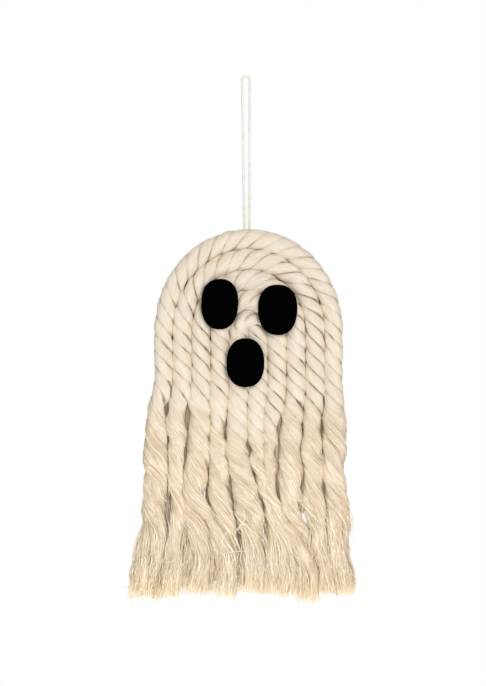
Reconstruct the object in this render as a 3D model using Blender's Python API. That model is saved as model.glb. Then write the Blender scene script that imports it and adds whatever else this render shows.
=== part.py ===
"""Hanging ghost of nested rope arches, with a felt face and a cord loop.

Five lengths of three-strand cotton rope are bent into arches that nest inside each other and lie side by
side on a felt backing. Below the backing each rope is opened into its strands, which hang as the fringe.
Two felt eyes and a felt mouth lie on the front. A cord loop is held to the back under a felt patch.

Metres, +Z up, front towards -Y. The origin is inside the top of the loop, where a nail carries it.
"""

import math
from collections import namedtuple

import bmesh
import bpy
from mathutils import Vector

MM = 0.001

# Rope
ROPE_DIAMETER = 11.7 * MM
ROPE_GAP = 0.3 * MM
STRANDS = "abc"
CROWN_SWELL = 1.084  # a rope is this much wider over the crown than in its legs
TIGHTEST_INSIDE = 0.8  # a bend's inner side stays within this share of the bend's radius
STATIONS_PER_TURN = 6.0
BEND_STATIONS_PER_TURN = 9.0  # of the innermost rope, whose bend is the tightest

# Strand section: flank angle and shoulder angle about the rope's axis, then the radii of its corners as shares
# of the rope's radius. A laid strand is a sector of the rope, and an opened one is nearly round.
Section = namedtuple("Section", "flank_angle shoulder_angle flank shoulder core")
LAID_SECTION = Section(math.radians(56), math.radians(20), 0.76, 0.985, 0.10)
OPEN_SECTION = Section(math.radians(45), math.radians(18), 0.66, 0.96, 0.21)

# Head
HEAD_CENTRE_X = 1.6 * MM
LOOP_DROP = 96.2 * MM  # from the nail to the top of the head
LEG_LENGTH = 39.0 * MM  # straight part of the legs above the place where lays are counted from

# Fringe
FRINGE_LENGTH = 131.0 * MM  # of the longest strands, below the place where lays are counted from
FRINGE_DRIFT_X = -4.6 * MM  # of the tips' middle from the head's
OPENING_LENGTH = 24.0 * MM  # over this length most of the lay's loss of twist takes place
LEFT_TWIST = 0.45  # share of the twist that the opened strands keep
OPENING_PACE = 1.8  # the strands have become round at the fringe's length over this
TAIL_STATIONS = 12
SWAY = 1.6 * MM
SWAY_LENGTH = 71.0 * MM
TIP_UNEVENNESS = 3.0 * MM

# Where the fringe widens, as shares of the head's width: once where the lay opens, and again near the tips
Widening = namedtuple("Widening", "share begins ends")
WIDENINGS = (
    Widening(0.075, -8.0 * MM, 22.0 * MM),
    Widening(0.115, 74.0 * MM, 118.0 * MM),
)

# Felt and cord
FELT_THICKNESS = 1.5 * MM
FACE_FELT_THICKNESS = 2.0 * MM
SEAT_GAP = 0.3 * MM
BACKING_INSET = 1.5 * MM
BACKING_BELOW_LEGS = 1.0 * MM  # its lower edge stops this far above the place where lays are counted from
CORD_DIAMETER = 1.8 * MM
PATCH_WIDTH = 18.0 * MM
PATCH_HEIGHT = 15.0 * MM
PATCH_BELOW_TOP = 6.5 * MM  # from the top of the head to the patch's upper edge

# Each rope, outermost first: length of one turn of its lay, how far up the left leg the first groove faces the
# front, how far the lay runs ahead at the crown in turns, and how far below the counting place the lay opens
Lay = namedtuple("Lay", "turn first_groove drift opens_below")
LAYS = (
    Lay(29.9 * MM, 10.1 * MM, -0.117, 2.0 * MM),
    Lay(28.9 * MM, 10.7 * MM, 0.044, 4.4 * MM),
    Lay(28.2 * MM, 0.9 * MM, -0.120, 5.7 * MM),
    Lay(25.3 * MM, 2.8 * MM, 0.0, 15.8 * MM),
    Lay(24.0 * MM, -1.1 * MM, 0.0, 20.2 * MM),
)

# Felt ovals: centre across from the head's centre line and up from the spring line, half width, half height, lean
Oval = namedtuple("Oval", "x z half_width half_height lean")
FACE = {
    "left_eye": Oval(-18.4 * MM, 17.2 * MM, 11.7 * MM, 16.0 * MM, math.radians(2)),
    "right_eye": Oval(18.0 * MM, 13.7 * MM, 12.4 * MM, 16.0 * MM, math.radians(0)),
    "mouth": Oval(-2.2 * MM, -19.8 * MM, 12.0 * MM, 15.5 * MM, math.radians(1)),
}
OVAL_SQUARENESS = 2.15  # exponent of the outline, 2 for a true ellipse
OVAL_POINTS = 28

# Route of the loop's centre line, left end to right end, in millimetres as (x, z)
LOOP_ROUTE_MM = (
    (-1.1, -114.0), (-1.1, -108.0), (-1.1, -102.0), (-1.1, -95.0), (-1.2, -86.0), (-1.35, -74.0),
    (-1.5, -62.0), (-1.65, -50.0), (-1.8, -38.0), (-2.0, -26.0), (-2.2, -14.0), (-2.33, -6.0),
    (-2.35, -1.45), (-2.04, -0.27), (-1.17, 0.59), (0.0, 0.9), (1.17, 0.59), (2.04, -0.27), (2.35, -1.45),
    (2.33, -6.0), (2.3, -14.0), (2.25, -26.0), (2.2, -38.0), (2.2, -50.0), (2.2, -62.0), (2.15, -74.0),
    (2.1, -86.0), (2.1, -95.0), (2.1, -102.0), (2.1, -108.0), (2.1, -114.0),
)  # fmt: skip
LOOP_STEP = 3.0  # cord diameters between the points of a leg
BEND_STEP = 0.45  # and round the top
BEND_FROM_Z = -4.0 * MM

# Worked out from the sizes above
ROPE_COUNT = len(LAYS)
STRAND_COUNT = len(STRANDS)
ROPE_RADIUS = ROPE_DIAMETER / 2
ROW_PITCH = ROPE_DIAMETER + ROPE_GAP
CROWN_PITCH = CROWN_SWELL * ROPE_DIAMETER + ROPE_GAP
HEAD_TOP_Z = -LOOP_DROP
SPRING_Z = HEAD_TOP_Z - ROPE_COUNT * CROWN_PITCH
LEG_FOOT_Z = SPRING_Z - LEG_LENGTH
CORD_RADIUS = CORD_DIAMETER / 2
BACKING_REAR_Y = -(CORD_RADIUS + SEAT_GAP)
BACKING_FRONT_Y = BACKING_REAR_Y - FELT_THICKNESS
ROPE_Y = BACKING_FRONT_Y - SEAT_GAP - ROPE_RADIUS
FACE_REAR_Y = ROPE_Y - ROPE_RADIUS - SEAT_GAP

SMOOTH_BELOW = math.radians(40)  # faces that meet at less than this are shaded as one round surface

# Colours, roughness
FINISHES = {
    "cotton_rope": ((0.80, 0.70, 0.54), 0.95),
    "black_felt": ((0.012, 0.012, 0.013), 0.98),
    "white_felt": ((0.80, 0.80, 0.78), 0.95),
    "white_cord": ((0.86, 0.83, 0.77), 0.9),
}


def clear_scene():
    for thing in list(bpy.data.objects):
        bpy.data.objects.remove(thing)


def finish_of(name):
    """The material of that name, made the first time that it is asked for."""
    material = bpy.data.materials.get(name)
    if material:
        return material
    colour, roughness = FINISHES[name]
    material = bpy.data.materials.new(name)
    material.use_nodes = True
    shader = material.node_tree.nodes["Principled BSDF"]
    shader.inputs["Base Color"].default_value = (*colour, 1.0)
    shader.inputs["Roughness"].default_value = roughness
    shader.inputs["Metallic"].default_value = 0.0
    return material


def place(name, data, finish, location=(0, 0, 0)):
    """A named object in the scene with its finish."""
    thing = bpy.data.objects.new(name, data)
    thing.location = location
    data.materials.append(finish_of(finish))
    bpy.context.scene.collection.objects.link(thing)
    return thing


def mesh_from(bm, name):
    """A mesh from the bmesh, with its normals facing out and its round surfaces shaded smooth."""
    bmesh.ops.recalc_face_normals(bm, faces=bm.faces)
    mesh = bpy.data.meshes.new(name)
    bm.to_mesh(mesh)
    bm.free()
    mesh.shade_smooth()
    mesh.set_sharp_from_angle(angle=SMOOTH_BELOW)
    return mesh


# Rope centre lines


def half_span(rope):
    """From the head's centre line to a leg's centre line. Rope 0 is the outermost."""
    return ROW_PITCH * (ROPE_COUNT - rope - 0.5)


def rise(rope):
    """From the spring line to the rope's centre line at the crown."""
    return CROWN_PITCH * (ROPE_COUNT - rope - 0.5)


def spread_at(z):
    """How much wider the row of legs and tails is at this height than the head, as a share."""
    spread = 0.0
    for widening in WIDENINGS:
        passed = (LEG_FOOT_Z - z - widening.begins) / (widening.ends - widening.begins)
        passed = min(1.0, max(0.0, passed))
        spread += widening.share * passed**2 * (3 - 2 * passed)
    return spread


def sway_at(x, z):
    """How far a tail leans across at this height. Neighbours sway nearly alike."""
    share = max(0.0, (LEG_FOOT_Z - z) / FRINGE_LENGTH)
    phase = 2 * math.pi * (z / SWAY_LENGTH + x / (ROW_PITCH * ROPE_COUNT))
    return SWAY * share * math.sin(phase)


def leg_point(side, rope, z):
    """A point on the centre line of a leg or of the tail below it. Side is -1 on the left and 1 on the right."""
    spread = spread_at(z)
    drift = FRINGE_DRIFT_X * spread / sum(widening.share for widening in WIDENINGS)
    x = side * half_span(rope) * (1 + spread) + drift
    return Vector((HEAD_CENTRE_X + x + sway_at(x, z), ROPE_Y, z))


def turns_opened(rope, below):
    """How far a rope's strands turn over this length of the tail."""
    easing = OPENING_LENGTH * (1 - math.exp(-below / OPENING_LENGTH))
    return (LEFT_TWIST * below + (1 - LEFT_TWIST) * easing) / LAYS[rope].turn


def tail_depths(rope):
    """How far a tail's stations lie below the opening, spaced so that the strands turn alike between them."""
    length = FRINGE_LENGTH - LAYS[rope].opens_below
    total = turns_opened(rope, length)
    depths = []
    for i in range(1, TAIL_STATIONS + 1):
        low, high = 0.0, length
        while high - low > 0.01 * MM:
            middle = (low + high) / 2
            if turns_opened(rope, middle) < total * i / TAIL_STATIONS:
                low = middle
            else:
                high = middle
        depths.append(high)
    return depths


def crown_point(rope, angle):
    """A point on the crown's half ellipse. Angle 0 is at the left spring and pi at the right."""
    x = -half_span(rope) * math.cos(angle)
    return Vector((HEAD_CENTRE_X + x, ROPE_Y, SPRING_Z + rise(rope) * math.sin(angle)))


def laid_line(rope):
    """Closely spaced points along the laid part of a rope, from the left opening to the right."""
    opening = LEG_FOOT_Z - LAYS[rope].opens_below
    leg = [opening + (SPRING_Z - opening) * i / 40 for i in range(40)]
    points = [leg_point(-1, rope, z) for z in leg]
    points += [crown_point(rope, math.pi * i / 240) for i in range(241)]
    points += [leg_point(1, rope, z) for z in reversed(leg)]
    return points


def lengths_along(points):
    """The distance of each point from the first, along the line."""
    covered = [0.0]
    for a, b in zip(points, points[1:]):
        covered.append(covered[-1] + (b - a).length)
    return covered


def point_at(points, covered, distance):
    """The point that lies this far along the line."""
    for i in range(1, len(points)):
        if covered[i] >= distance or i == len(points) - 1:
            share = (distance - covered[i - 1]) / (covered[i] - covered[i - 1])
            return points[i - 1].lerp(points[i], share)


# Strands

# Where a section of the rope is: its centre, direction, how far round the lay has turned, and how open it is
Station = namedtuple("Station", "centre along turn open_share lateral_in lateral_out depth")


def inside_squeeze(rope):
    """Share of its width that a rope keeps on the inner side of its crown, so that it doesn't fold through itself."""
    tightest = half_span(rope) ** 2 / rise(rope)
    return min(1.0, TIGHTEST_INSIDE * tightest / (ROPE_RADIUS * CROWN_SWELL))


def laid_stations(rope):
    """Stations along the laid part."""
    lay = LAYS[rope]
    points = laid_line(rope)
    covered = lengths_along(points)
    per_turn = BEND_STATIONS_PER_TURN if rope == ROPE_COUNT - 1 else STATIONS_PER_TURN
    count = math.ceil(covered[-1] / lay.turn * per_turn)
    stations = []
    for i in range(count + 1):
        distance = covered[-1] * i / count
        centre = point_at(points, covered, distance)
        step = 0.2 * MM
        ahead = point_at(points, covered, min(distance + step, covered[-1]))
        behind = point_at(points, covered, max(distance - step, 0.0))
        height = max(0.0, (centre.z - SPRING_Z) / rise(rope))
        share = distance / covered[-1]
        turn = (distance - lay.opens_below - lay.first_groove) / lay.turn + 4 * lay.drift * share * (1 - share)
        swell = (1 + (CROWN_SWELL - 1) * height**2) * (1 + spread_at(centre.z))
        squeeze = 1 - (1 - inside_squeeze(rope)) * height
        stations.append(
            Station(
                centre,
                (ahead - behind).normalized(),
                turn,
                0.0,
                ROPE_RADIUS * swell * squeeze,
                ROPE_RADIUS * swell,
                ROPE_RADIUS,
            )
        )
    return stations


def tail_station(rope, side, joined, below):
    """A station this far below the opening. Joined is the laid part's last station on that side."""
    z = joined.centre.z - below
    here = leg_point(side, rope, z)
    downward = (leg_point(side, rope, z - MM) - here).normalized()
    radius = ROPE_RADIUS * (1 + spread_at(z))
    return Station(
        here,
        downward if side > 0 else -downward,
        joined.turn + side * turns_opened(rope, below),
        min(1.0, OPENING_PACE * below / FRINGE_LENGTH),
        radius,
        radius,
        radius,
    )


def tip_cut(rope, strand, side):
    """How much shorter a strand is than the longest ones."""
    index = strand + STRAND_COUNT * (rope + ROPE_COUNT * (side + 1) / 2)
    golden_share = (math.sqrt(5) - 1) / 2 * index % 1
    return TIP_UNEVENNESS * golden_share


def stations_of(rope, strand):
    """A strand's stations, from its left tip over the crown to its right tip."""
    laid = laid_stations(rope)
    tails = []
    for side, joined in ((-1, laid[0]), (1, laid[-1])):
        depths = tail_depths(rope)
        depths[-1] -= tip_cut(rope, strand, side)
        tails.append([tail_station(rope, side, joined, below) for below in depths])
    left, right = tails
    return left[::-1] + laid + right


def mixed(a, b, share):
    return a + (b - a) * share


def section_shape(open_share):
    """A strand's section as (angle, radius) about the rope's axis, from the core round the outside."""
    shape = Section(*(mixed(a, b, open_share) for a, b in zip(LAID_SECTION, OPEN_SECTION)))
    return (
        (0.0, shape.core),
        (-shape.flank_angle, shape.flank),
        (-shape.shoulder_angle, shape.shoulder),
        (shape.shoulder_angle, shape.shoulder),
        (shape.flank_angle, shape.flank),
    )


def section_points(station, strand):
    """A strand's section at a station, in place. The lay is left-handed: it turns back as the rope goes on."""
    backward = Vector((0, 1, 0))
    inward = backward.cross(station.along).normalized()
    middle = -math.pi / 2 + (strand + 0.5) * 2 * math.pi / STRAND_COUNT - 2 * math.pi * station.turn
    points = []
    for offset, radius in section_shape(station.open_share):
        angle = middle + offset
        lateral = station.lateral_in if math.cos(angle) > 0 else station.lateral_out
        across = inward * (lateral * radius * math.cos(angle))
        points.append(station.centre + across + backward * (station.depth * radius * math.sin(angle)))
    return points


def make_strand(rope, strand):
    """One strand, from its left tip over the crown to its right tip."""
    bm = bmesh.new()
    rows = []
    for station in stations_of(rope, strand):
        rows.append([bm.verts.new(point) for point in section_points(station, strand)])
    corners = len(rows[0])
    for row, following in zip(rows, rows[1:]):
        for i in range(corners):
            j = (i + 1) % corners
            # The two flanks lean the same way, core to flank, so that they stay clear of the neighbours' flanks
            if i == corners - 1:
                bm.faces.new((row[i], row[j], following[i]))
                bm.faces.new((row[j], following[j], following[i]))
            else:
                bm.faces.new((row[i], row[j], following[j]))
                bm.faces.new((row[i], following[j], following[i]))
    bm.faces.new(rows[0][::-1])
    bm.faces.new(rows[-1])
    name = f"rope_{rope + 1}_strand_{STRANDS[strand]}"
    return place(name, mesh_from(bm, name), "cotton_rope")


# Felt pieces


def extrude_outline(name, outline, thickness):
    """A plate from an outline in XZ, standing on y = 0 and reaching to y = thickness."""
    bm = bmesh.new()
    face = bm.faces.new([bm.verts.new((x, 0, z)) for x, z in outline])
    made = bmesh.ops.extrude_face_region(bm, geom=[face])["geom"]
    raised = [v for v in made if isinstance(v, bmesh.types.BMVert)]
    bmesh.ops.translate(bm, verts=raised, vec=(0, thickness, 0))
    return mesh_from(bm, name)


def oval_outline(oval):
    """The outline of a felt oval about its own centre."""
    points = []
    for i in range(OVAL_POINTS):
        angle = 2 * math.pi * i / OVAL_POINTS
        c, s = math.cos(angle), math.sin(angle)
        x = oval.half_width * math.copysign(abs(c) ** (2 / OVAL_SQUARENESS), c)
        z = oval.half_height * math.copysign(abs(s) ** (2 / OVAL_SQUARENESS), s)
        lean_c, lean_s = math.cos(oval.lean), math.sin(oval.lean)
        points.append((x * lean_c + z * lean_s, z * lean_c - x * lean_s))
    return points


def make_face():
    """The two eyes and the mouth, lying on the ropes."""
    for name, oval in FACE.items():
        mesh = extrude_outline(name, oval_outline(oval), FACE_FELT_THICKNESS)
        place(
            name,
            mesh,
            "black_felt",
            (HEAD_CENTRE_X + oval.x, FACE_REAR_Y - FACE_FELT_THICKNESS, SPRING_Z + oval.z),
        )


def make_backing():
    """The felt sheet behind the laid part of the ropes, cut a little inside their outline."""
    half_width = ROW_PITCH * ROPE_COUNT - BACKING_INSET
    height = CROWN_PITCH * ROPE_COUNT - BACKING_INSET
    foot = LEG_FOOT_Z + BACKING_BELOW_LEGS - SPRING_Z
    arc = [math.pi * i / 30 for i in range(31)]
    outline = [(half_width * math.cos(angle), height * math.sin(angle)) for angle in arc]
    outline += [(-half_width, foot), (half_width, foot)]
    mesh = extrude_outline("felt_backing", outline, FELT_THICKNESS)
    place("felt_backing", mesh, "white_felt", (HEAD_CENTRE_X, BACKING_FRONT_Y, SPRING_Z))


def loop_end_x():
    """Where the loop's two ends lie, across."""
    return LOOP_ROUTE_MM[0][0] * MM, LOOP_ROUTE_MM[-1][0] * MM


def arc_over(x, radius, start, end, count):
    """Points on an arc about (x, 0), as (x, y)."""
    angles = [start + (end - start) * i / count for i in range(count + 1)]
    return [(x + radius * math.cos(angle), radius * math.sin(angle)) for angle in angles]


def make_patch():
    """The felt patch that holds the loop's ends, flat at its edges and humped over each end of the cord."""
    left, right = loop_end_x()
    middle = (left + right) / 2
    seat = BACKING_REAR_Y + SEAT_GAP
    tunnel = CORD_RADIUS + SEAT_GAP
    outer = tunnel + FELT_THICKNESS
    drop = math.asin(-seat / tunnel)
    inside = []
    for x in (left, right):
        inside += arc_over(x, tunnel, math.pi + drop, -drop, 8)
    meet = math.acos((right - left) / 2 / outer)
    fold = math.asin((seat + FELT_THICKNESS) / outer)
    outside = arc_over(right, outer, fold, math.pi - meet, 6)
    outside += arc_over(left, outer, meet, math.pi - fold, 6)[1:]
    outline = [(middle - PATCH_WIDTH / 2, seat)] + inside + [(middle + PATCH_WIDTH / 2, seat)]
    outline += [(middle + PATCH_WIDTH / 2, seat + FELT_THICKNESS)] + outside
    outline += [(middle - PATCH_WIDTH / 2, seat + FELT_THICKNESS)]
    bm = bmesh.new()
    bottom = HEAD_TOP_Z - PATCH_BELOW_TOP - PATCH_HEIGHT
    face = bm.faces.new([bm.verts.new((x, y, bottom)) for x, y in outline])
    made = bmesh.ops.extrude_face_region(bm, geom=[face])["geom"]
    raised = [v for v in made if isinstance(v, bmesh.types.BMVert)]
    bmesh.ops.translate(bm, verts=raised, vec=(0, 0, PATCH_HEIGHT))
    place("loop_patch", mesh_from(bm, "loop_patch"), "white_felt")


# Cord loop


def smooth_route():
    """Closely spaced points of a smooth curve through the loop's route."""
    route = [Vector((x, 0, z)) * MM for x, z in LOOP_ROUTE_MM]
    ends = [route[0] * 2 - route[1], route[-1] * 2 - route[-2]]
    padded = [ends[0], *route, ends[1]]
    points = []
    for a, b, c, d in zip(padded, padded[1:], padded[2:], padded[3:]):
        for i in range(24):
            t = i / 24
            points.append(
                0.5 * (2 * b + (c - a) * t + (2 * a - 5 * b + 4 * c - d) * t**2 + (3 * b - a - 3 * c + d) * t**3)
            )
    return points + [route[-1]]


def make_loop():
    """The cord that the ghost hangs by."""
    points = smooth_route()
    covered = lengths_along(points)
    distance, kept = 0.0, [points[0]]
    while True:
        step = BEND_STEP if kept[-1].z > BEND_FROM_Z else LOOP_STEP
        distance += step * CORD_DIAMETER
        if distance > covered[-1] - step * CORD_DIAMETER / 2:
            break
        kept.append(point_at(points, covered, distance))
    kept.append(points[-1])
    curve = bpy.data.curves.new("hanging_loop", "CURVE")
    curve.dimensions = "3D"
    curve.bevel_depth = CORD_RADIUS
    curve.bevel_resolution = 2
    curve.use_fill_caps = True
    spline = curve.splines.new("POLY")
    spline.points.add(len(kept) - 1)
    for spot, point in zip(spline.points, kept):
        spot.co = (*point, 1.0)
    place("hanging_loop", curve, "white_cord")


def main():
    clear_scene()
    for rope in range(ROPE_COUNT):
        for strand in range(STRAND_COUNT):
            make_strand(rope, strand)
    make_face()
    make_backing()
    make_patch()
    make_loop()


main()
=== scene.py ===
"""Looks of the hanging rope ghost: laid cotton ropes opened into a brushed fringe, felt pieces and a loop."""

import logging
import math
import random
from dataclasses import dataclass, replace
from enum import Enum
from typing import Any, Callable, Iterable, Sequence

import bmesh
import bpy
import numpy as np
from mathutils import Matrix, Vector


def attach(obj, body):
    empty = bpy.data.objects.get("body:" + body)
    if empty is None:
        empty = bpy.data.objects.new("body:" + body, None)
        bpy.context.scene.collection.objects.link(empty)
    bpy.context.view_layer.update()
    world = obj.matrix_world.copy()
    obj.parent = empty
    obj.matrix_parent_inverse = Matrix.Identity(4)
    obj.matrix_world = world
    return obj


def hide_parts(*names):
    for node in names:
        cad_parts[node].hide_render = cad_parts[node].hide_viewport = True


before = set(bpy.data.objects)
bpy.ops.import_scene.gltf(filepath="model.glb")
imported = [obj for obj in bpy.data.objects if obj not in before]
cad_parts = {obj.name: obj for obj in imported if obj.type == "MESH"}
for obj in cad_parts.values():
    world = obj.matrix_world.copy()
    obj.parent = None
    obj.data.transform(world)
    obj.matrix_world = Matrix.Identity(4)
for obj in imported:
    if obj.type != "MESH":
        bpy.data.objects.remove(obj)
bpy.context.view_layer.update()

log = logging.getLogger("rope_ghost")

MM = 0.001
BODY = "root"
TURN = 2 * math.pi
NOISE_MEAN = (0.5, 0.5, 0.5)
WHITE = (1.0, 1.0, 1.0, 1.0)

Point = tuple[float, float, float]
Colour = tuple[float, float, float]


# Node graphs


def operator(operation: str, is_reflected: bool = False) -> Callable[["Value", Any], "Value"]:
    """A method of Value for one arithmetic sign.

    Args:
        operation: the operation of a Math or Vector Math node.
        is_reflected: whether the value stands to the right of the sign.

    Returns:
        The method.
    """

    def method(self: "Value", other: Any) -> "Value":
        """Apply the operation to this value and another one."""
        return self.graph.pair(operation, *((other, self) if is_reflected else (self, other)))

    return method


class Value:
    """A node's output socket that can be used in Python arithmetic."""

    __add__, __radd__ = operator("ADD"), operator("ADD", True)
    __sub__, __rsub__ = operator("SUBTRACT"), operator("SUBTRACT", True)
    __mul__, __rmul__ = operator("MULTIPLY"), operator("MULTIPLY", True)
    __truediv__, __rtruediv__ = operator("DIVIDE"), operator("DIVIDE", True)
    __pow__, __rpow__ = operator("POWER"), operator("POWER", True)
    __gt__, __lt__ = operator("GREATER_THAN"), operator("LESS_THAN")

    def __init__(self, graph: "Graph", socket: bpy.types.NodeSocket) -> None:
        """Wrap a socket of a graph."""
        self.graph, self.socket = graph, socket

    @property
    def is_vector(self) -> bool:
        """Whether the socket carries a vector or a colour."""
        return self.socket.type in {"VECTOR", "RGBA"}

    def one(self, operation: str) -> "Value":
        """The result of an operation on this value alone, such as SINE, or LENGTH for a vector."""
        kind = "ShaderNodeVectorMath" if self.is_vector else "ShaderNodeMath"
        return self.graph.use(kind, {0: self}, operation=operation)

    def ramp(self, low: float, high: float, start: float = 0.0, end: float = 1.0) -> "Value":
        """Ease from one result, at and below low, to another, at and above high."""
        inputs = {"Value": self, "From Min": low, "From Max": high, "To Min": start, "To Max": end}
        return self.graph.use("ShaderNodeMapRange", inputs, interpolation_type="SMOOTHSTEP")

    def part(self, axis: str) -> "Value":
        """One of a vector's three numbers, X, Y or Z."""
        return self.graph.use("ShaderNodeSeparateXYZ", {0: self}, axis)


class Graph:
    """A node tree with short ways to add to it."""

    def __init__(self, tree: bpy.types.NodeTree) -> None:
        """Wrap a tree."""
        self.tree = tree

    def node(self, kind: str, inputs: dict, **settings: Any) -> bpy.types.Node:
        """Add a node.

        Args:
            kind: the node's type.
            inputs: values, links or lists of links, by socket number, identifier or name.
            settings: its properties, which are set first.

        Returns:
            The node.
        """
        node = self.tree.nodes.new(kind)
        for name, value in settings.items():
            setattr(node, name, value)
        sockets = {socket.identifier: socket for socket in node.inputs}
        for key, value in inputs.items():
            socket = sockets[key] if key in sockets else node.inputs[key]
            for item in value if isinstance(value, list) else [value]:
                if isinstance(item, Value):
                    self.tree.links.new(item.socket, socket)
                else:
                    socket.default_value = item
        return node

    def use(self, kind: str, inputs: dict | None = None, output: Any = None, **settings: Any) -> Value:
        """Add a node and take one of its outputs.

        Args:
            kind: the node's type.
            inputs: its inputs.
            output: the output's number or name; the first one that is switched on if not given.
            settings: its properties.

        Returns:
            The output.
        """
        node = self.node(kind, inputs or {}, **settings)
        if output is None:
            return Value(self, next(socket for socket in node.outputs if socket.enabled))
        return Value(self, node.outputs[output])

    def pair(self, operation: str, first: Any, second: Any) -> Value:
        """The result of an operation on two values.

        Args:
            operation: the operation of a Math node, or of a Vector Math node where a vector is among them.
            first: the left operand.
            second: the right operand.

        Returns:
            The result.
        """
        vectors = [isinstance(v, tuple) or (isinstance(v, Value) and v.is_vector) for v in (first, second)]
        if not any(vectors):
            return self.use("ShaderNodeMath", {0: first, 1: second}, operation=operation)
        if operation == "MULTIPLY" and not all(vectors):
            vector, number = (first, second) if vectors[0] else (second, first)
            return self.use("ShaderNodeVectorMath", {0: vector, "Scale": number}, operation="SCALE")
        return self.use("ShaderNodeVectorMath", {0: first, 1: second}, operation=operation)

    def vector(self, x: Any, y: Any, z: Any) -> Value:
        """A vector from three numbers."""
        return self.use("ShaderNodeCombineXYZ", {0: x, 1: y, 2: z})

    def noise(self, place: Value, scale: float, detail: float = 2.0, output: str = "Fac") -> Value:
        """Noise about 0.5 by cells for each metre: a number, or a vector by the output Color."""
        return self.use("ShaderNodeTexNoise", {"Vector": place, "Scale": scale, "Detail": detail}, output)

    def wander(self, place: Value, cells: float, size: Any, detail: float = 1.0) -> Value:
        """A smoothly changing push in any direction, by cells for each metre."""
        return (self.noise(place, cells, detail, "Color") - NOISE_MEAN) * size

    def blend(self, share: Value, first: Any, second: Any) -> Value:
        """A colour between two colours.

        Args:
            share: how much of the second one there is.
            first: a colour or a link.
            second: a colour or a link.

        Returns:
            The colour.
        """
        first, second = ((*c, 1.0) if isinstance(c, tuple) else c for c in (first, second))
        inputs = {"Factor_Float": share, "A_Color": first, "B_Color": second}
        return self.use("ShaderNodeMix", inputs, "Result", data_type="RGBA")

    def painted(self, name: str, output: str = "Fac") -> Value:
        """An attribute of the mesh that a material reads."""
        return self.use("ShaderNodeAttribute", {}, output, attribute_name=name)


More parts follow.
